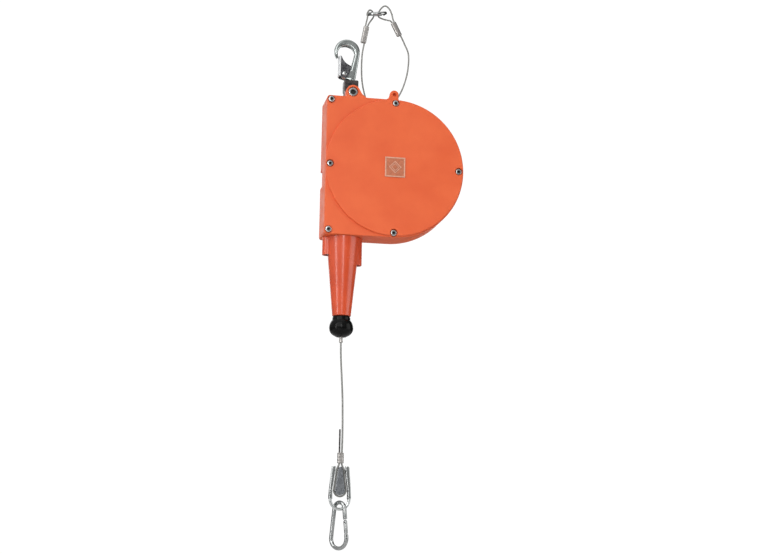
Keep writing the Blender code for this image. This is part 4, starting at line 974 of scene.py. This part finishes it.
def gate_rivet():
    """The gate's pin, with a domed head at each end."""
    dome = [(2.3 * math.cos(math.radians(a)), 0.75 * math.sin(math.radians(a))) for a in range(0, 90, 15)]
    profile = [(0, -5.9)] + [(r, -5.15 - h) for r, h in reversed(dome)] + [(2.3, -5.0), (RIVET_RADIUS, -5.0)]
    profile += [(r, -h) for r, h in reversed(profile)]
    rivet = piece("rivet", ZINC, turned, profile, (GATE_X, MID_Y, GATE_Z), "Y", 40)
    seat(rivet, "hook", "zinc", "gate_rivet")


def gate_spring():
    """Torsion spring round the rivet, with one leg up the gate and the other in the hook's slot."""
    coil = [Vector((GATE_X - 4.0, MID_Y - 1.0, GATE_Z + 8.5))]
    turns, per_turn = 2.4, 24
    count = int(turns * per_turn)
    for i in range(count):
        angle = math.pi + 2 * math.pi * i / per_turn
        coil.append(Vector((GATE_X + 2.6 * math.cos(angle), MID_Y - 1.0 + 2.0 * i / count,
                            GATE_Z + 2.6 * math.sin(angle))))
    coil.append(Vector((GATE_X + 1.4, MID_Y + 1.0, GATE_Z - 3.0)))
    spring = piece("return_spring", SPRING, sweep, coil, lambda *_: 0.33, 10, angle=60)
    seat(spring, "gate", "spring_steel", "gate_spring")


# ---------------------------------------------------------------- wedge socket and snap hooks

def socket_wedge():
    outline = arc(END_X, WEDGE_Z, WEDGE_RADIUS, 182, 358, 40)
    outline += arc(END_X, WEDGE_TOP, WEDGE_TOP_HALF, 0, 180, 16)
    wedge = piece("clamp_wedge", BLUED, rounded_prism, outline, MID_Y - 2.6, MID_Y + 2.6, 0.5)
    return seat(wedge, "rope_end", "dark_steel", "socket_wedge")


def wedge_socket():
    """Two cheeks that close in towards the top, and a round bow below them."""
    top, low = SOCKET_TOP, SOCKET_BOW_Z + 0.6
    outer = [(11.6, -350.0), (11.2, -343.0), (9.6, top - 4.0)] + arc(7.3, top - 2.3, 2.3, 20, 90, 8)
    inner = [(5.6, top), (5.1, top - 0.6), (4.9, top - 1.5), (5.0, top - 4.0), (8.0, WEDGE_Z), (8.0, low)]
    cheek = [(11.6, low)] + outer + inner
    bm = bmesh.new()
    for side in (1, -1):
        rounded_prism(bm, [(END_X + side * x, z) for x, z in cheek], MID_Y - SOCKET_HALF_DEPTH,
                      MID_Y + SOCKET_HALF_DEPTH, 1.0)
    obj = make("socket_cheeks", bm, ZINC)

    bend = [(-BOW_RADIUS, SOCKET_BOW_Z + 3.0)] + arc(0, SOCKET_BOW_Z, BOW_RADIUS, 180, 360, 60)
    bend.append((BOW_RADIUS, SOCKET_BOW_Z + 3.0))
    bow = [(END_X + u, MID_Y, v) for u, v in bend]
    cut(obj, sweep, bow, lambda *_: ROUND_BAR * BOW_BAR, 24, join=True)
    return seat(obj, "rope_end", "zinc", "wedge_socket")


def snap_path():
    """Centre line of the snap hook's wire, from the nose round the wide and narrow bends to the hinge."""
    lean = math.asin((SNAP_WIDE - SNAP_NARROW) / SNAP_LENGTH)
    degrees = math.degrees(lean)

    def leg(side, drop):
        high = Vector((side * SNAP_NARROW * math.cos(lean), SNAP_NARROW * math.sin(lean)))
        low = Vector((side * SNAP_WIDE * math.cos(lean), -SNAP_LENGTH + SNAP_WIDE * math.sin(lean)))
        return high.lerp(low, (high.y + drop) / (high.y - low.y))

    nose, hinge = leg(1, SNAP_NOSE), leg(1, SNAP_HINGE)
    wide = arc(0, -SNAP_LENGTH, SNAP_WIDE, degrees, -180 - degrees, 56)
    narrow = arc(0, 0, SNAP_NARROW, 180 - degrees, degrees, 44)
    points = [tuple(nose)] + wide + [tuple(leg(-1, 18.0))] + narrow + [tuple(hinge)]
    return points, nose, hinge


def snap_hook(prefix, place, body, gate_body, cad):
    """Wire body with a rounded nose, a tapered gate and its pin; place(u, v, w) sets its plane."""
    points, nose, hinge = snap_path()
    along = (hinge - nose).normalized()
    start, end = nose + along * 0.4, hinge - along * 0.7
    spot = end - along * 2.2
    total = path_length([Vector(p) for p in points])

    def ends_rounded(distance, _, share):
        near = min(distance, total * (1 - share)) if share < 0.5 else total * (1 - share)
        return ROUND_BAR * SNAP_WIRE - 0.35 * max(0.0, 1 - near / 0.35)

    lead = [nose, nose - along * 0.2, nose - along * 0.4]
    tail = [hinge + along * 0.4, hinge + along * 0.2, hinge]
    line = lead + [Vector(p) for p in points[1:-1]] + tail
    # Ring and latch take zinc darkened as painted shade
    ring = piece(f"{prefix}_ring", SNAP_ZINC_SHADED, sweep, [place(p.x, p.y, 0) for p in line], ends_rounded, 24)
    seat(ring, body, "zinc", f"{cad}_body")

    full, count = ROUND_BAR * (SNAP_WIRE - 0.2), 40
    length = (end - start).length
    stations = [start.lerp(end, k / count) for k in range(count + 1)]

    def gate_radius(distance, _, share):
        to_end = length * (1 - share)
        taper = 1.2 + (full - 1.2) * min(1.0, to_end / 1.1)
        return min(taper, full - 0.3 * max(0.0, 1 - distance / 0.4))

    gate = piece(f"{prefix}_latch", SNAP_ZINC_SHADED, sweep, [place(p.x, p.y, 0) for p in stations], gate_radius, 24)
    origin = place(spot.x, spot.y, 0)
    across = (place(0, 0, 1) - place(0, 0, 0)).normalized()

    def pin_shape(tool, radius, reach):
        turned(tool, pin_profile(radius, reach, 0.1), (0, 0, 0), "Z", 20)
        turn = Vector((0, 0, 1)).rotation_difference(across).to_matrix()
        for vert in tool.verts:
            vert.co = turn @ vert.co + origin

    cut(gate, pin_shape, 0.85, 4.0)
    seat(gate, gate_body, "zinc", f"{cad}_gate")
    pin = piece(f"{prefix}_rivet", BURNISHED, pin_shape, 0.7, SNAP_WIRE + 0.05)
    return [ring, gate, seat(pin, body, "zinc", f"{cad}_pin")]


def lower_place(u, v, w):
    """Hung from the socket's bow, its plane turned about the vertical."""
    bend = SOCKET_BOW_Z - BOW_RADIUS + 0.5
    cosine, sine = math.cos(SNAP_TURN), math.sin(SNAP_TURN)
    return Vector((END_X + u * cosine - w * sine, MID_Y + u * sine + w * cosine, bend + v))


def safety_place(u, v, w):
    """Snap hook at the top of the safety rope, lying back from its wide bend."""
    return SAFETY_BEND + SAFETY_ACROSS * u + SAFETY_BACK * (v + SNAP_LENGTH + SNAP_WIDE) + SAFETY_NORMAL * w


def safety_rope():
    held = {}
    for side, (top, bottom) in SAFETY_FERRULES.items():
        top, bottom = Vector(top), Vector(bottom)
        along = (top - bottom).normalized()
        held[side] = (top, bottom, (Vector((1, 0, 0)) - along * along.x).normalized() * SAFETY_STRAND)
    left_top, left_bottom, left_across = held["left"]
    right_top, right_bottom, right_across = held["right"]
    upright = SAFETY_NORMAL if SAFETY_NORMAL.z > 0 else -SAFETY_NORMAL
    hold = safety_place(-7.0, -SNAP_LENGTH - 7.1, 0)
    out = (hold - safety_place(0, -SNAP_LENGTH, 0)).normalized()
    left_eye = [hold + out * 4.6 - upright * 3.0, hold + out * 4.2 + upright * 1.8, hold + upright * 4.6,
                hold - out * 4.4 + upright * 1.6, hold - out * 4.4 - upright * 3.5]
    lift = Vector((0, 0, 0.5))
    knots = [left_bottom - left_across + lift, left_top - left_across] + left_eye
    knots += [left_top + left_across, left_bottom + left_across] + SAFETY_ROUTE
    knots += [right_bottom + right_across, right_top + right_across] + SAFETY_BIG_EYE
    knots += [right_top - right_across, right_bottom - right_across + lift]
    obj, path = rope("safety_line", smooth_route(knots, 0.8), SAFETY_ROPE_RADIUS, WIRE, "housing",
                     ["safety_rope"], 8.0, 0.08)
    ferrules = []
    for side, (top, bottom, across) in held.items():
        along = (top - bottom).normalized()
        ferrules.append(pressed_sleeve(f"safety_sleeve_{side}", bottom + along, top - along, across,
                                       SAFETY_ROPE_RADIUS, 0.7, SAFETY_STRAND, "housing",
                                       f"safety_ferrule_{side}", 0))
    return obj, path, ferrules


# ---------------------------------------------------------------- inner pieces stay as they are

INNER = {BRONZE: ("worm_wheel", "drum_bush_front", "drum_bush_rear"),
         ALUMINIUM: ("drum", "spring_cover"), SPRING: ("spiral_spring",), RUBBER: ("nozzle_bush",),
         BURNISHED: ("spring_arbor", "adjusting_worm"), WIRE: ("rope_winding",)}


def finish_inner_nodes():
    for surface, names in INNER.items():
        for name in names:
            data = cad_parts[name].data
            data.materials.clear()
            data.materials.append(surface)


# ---------------------------------------------------------------- stage

FLOOR_DROP, FLOOR_RADIUS = 0.06, 1.1
AIR_STRENGTH, BACKDROP_STRENGTH = 0.6, 1.05
BRIGHT_SIDE = Vector((-0.55, -0.35, 0.75)).normalized()
AIR_LEVELS = ((0.0, 0.10), (0.42, 0.05), (0.58, 0.14), (0.78, 0.75), (1.0, 1.0))
PANELS = (                            # name, place from the object's middle, width, height, watts
    ("key_panel", (-0.9, -1.5, 1.0), 1.6, 1.4, 13.5),
    ("left_strip", (-1.05, -0.59, 0.12), 0.16, 1.0, 3.5),
    ("near_strip", (-0.19, -1.19, 0.19), 0.12, 0.55, 2.0),
    ("right_panel", (1.07, -0.54, 0.12), 0.9, 1.2, 6.5),
    ("top_panel", (-0.1, -0.1, 1.5), 1.6, 1.4, 4.0),
    ("rim_panel", (-0.45, 1.4, 0.45), 0.5, 1.2, 3.0),
    ("back_panel", (0.6, 1.5, 0.6), 1.0, 1.0, 6.0))


def pale_floor():
    """A round grey floor under the object."""
    pale = finish("pale_floor", 0.0, (600.0, 2.0, (0.76, 0.76, 0.76), (0.74, 0.74, 0.74)), 0.9)
    bm = bmesh.new()
    rim = arc(0, 0, FLOOR_RADIUS, 0, 356.25, 95)
    bm.faces.new([bm.verts.new((x, y, cad_low.z - FLOOR_DROP)) for x, y in rim])
    mesh = bpy.data.meshes.new("floor")
    bm.to_mesh(mesh)
    bm.free()
    mesh.materials.append(pale)
    floor = bpy.data.objects.new("floor", mesh)
    bpy.context.scene.collection.objects.link(floor)


def studio_air():
    """White behind the object for the camera; for all else, bright on one side and dark on the other."""
    world = bpy.data.worlds.new("studio")
    bpy.context.scene.world = world
    world.use_nodes = True
    nodes, links = world.node_tree.nodes, world.node_tree.links
    place = nodes.new("ShaderNodeTexCoord")
    facing = nodes.new("ShaderNodeVectorMath")
    facing.operation = "DOT_PRODUCT"
    facing.inputs[1].default_value = BRIGHT_SIDE
    lift = nodes.new("ShaderNodeMapRange")
    lift.inputs["From Min"].default_value = -1.0
    ramp = nodes.new("ShaderNodeValToRGB")
    links.new(place.outputs["Generated"], facing.inputs[0])
    links.new(facing.outputs["Value"], lift.inputs["Value"])
    links.new(lift.outputs["Result"], ramp.inputs["Fac"])
    set_stops(ramp, [(position, (level,) * 3) for position, level in AIR_LEVELS])
    air = nodes["Background"]
    links.new(ramp.outputs["Color"], air.inputs["Color"])
    air.inputs["Strength"].default_value = AIR_STRENGTH
    white = nodes.new("ShaderNodeBackground")
    white.inputs["Color"].default_value = (1.0, 1.0, 1.0, 1.0)
    white.inputs["Strength"].default_value = BACKDROP_STRENGTH
    seen = nodes.new("ShaderNodeLightPath")
    mix = nodes.new("ShaderNodeMixShader")
    links.new(seen.outputs["Is Camera Ray"], mix.inputs["Fac"])
    links.new(air.outputs["Background"], mix.inputs[1])
    links.new(white.outputs["Background"], mix.inputs[2])
    links.new(mix.outputs["Shader"], nodes["World Output"].inputs["Surface"])


def soft_panels():
    """Area lamps that all face the object's middle."""
    for name, offset, width, height, watts in PANELS:
        lamp = bpy.data.lights.new(name, "AREA")
        lamp.shape = "RECTANGLE"
        lamp.size, lamp.size_y, lamp.energy = width, height, watts
        obj = bpy.data.objects.new(name, lamp)
        obj.location = (cad_low + cad_high) / 2 + Vector(offset)
        obj.rotation_mode = "QUATERNION"
        obj.rotation_quaternion = (-Vector(offset)).to_track_quat("-Z", "Y")
        bpy.context.scene.collection.objects.link(obj)


def camera():
    """From below and a little to the left of the front, rolled one degree."""
    data = bpy.data.cameras.new("camera")
    data.lens, data.sensor_width = 67.55, 36.0
    obj = bpy.data.objects.new("camera", data)
    right, up = Vector((0.9807, -0.1947, 0.0168)), Vector((-0.0520, -0.1769, 0.9828))
    away = -Vector((0.1884, 0.9648, 0.1837))
    turn = Matrix((right, up, away)).transposed()
    obj.rotation_mode = "QUATERNION"
    obj.rotation_quaternion = turn.to_quaternion()
    obj.location = (-0.2432, -1.5210, -0.5449)
    data.clip_start, data.clip_end = 0.05, 50.0
    bpy.context.scene.collection.objects.link(obj)
    bpy.context.scene.camera = obj


# ---------------------------------------------------------------- build

camera()
pale_floor()
studio_air()
soft_panels()
bpy.context.scene.view_settings.view_transform = "Standard"
bpy.context.scene.view_settings.look = "None"

lift_rope, lift_path = hanging_rope()
loop_rope, loop_path, tail = end_loop()
feed_rope()
line, line_path, line_sleeves = safety_rope()
end_sleeve = pressed_sleeve(
    "end_sleeve", (END_X, MID_Y, FERRULE_BOTTOM), (END_X, MID_Y, FERRULE_TOP), (1, 0, 0), ROPE_RADIUS, 0.9,
    STRAND_OFFSET, "rope_end", "rope_ferrule")
socket = [socket_wedge(), wedge_socket()]
load_snap = snap_hook("load_snap", lower_place, "lower_snap", "lower_snap_gate", "snap_hook")
line_snap = snap_hook("safety_snap", safety_place, "housing", "safety_gate", "safety_snap")
front_cover()
rear_housing()
cover_screws()
badge()
nozzle()
nozzle_screws()
rope_buffer()
yoke()
yoke_fasteners()
suspension_hook()
hook_gate()
gate_rivet()
gate_spring()
finish_inner_nodes()
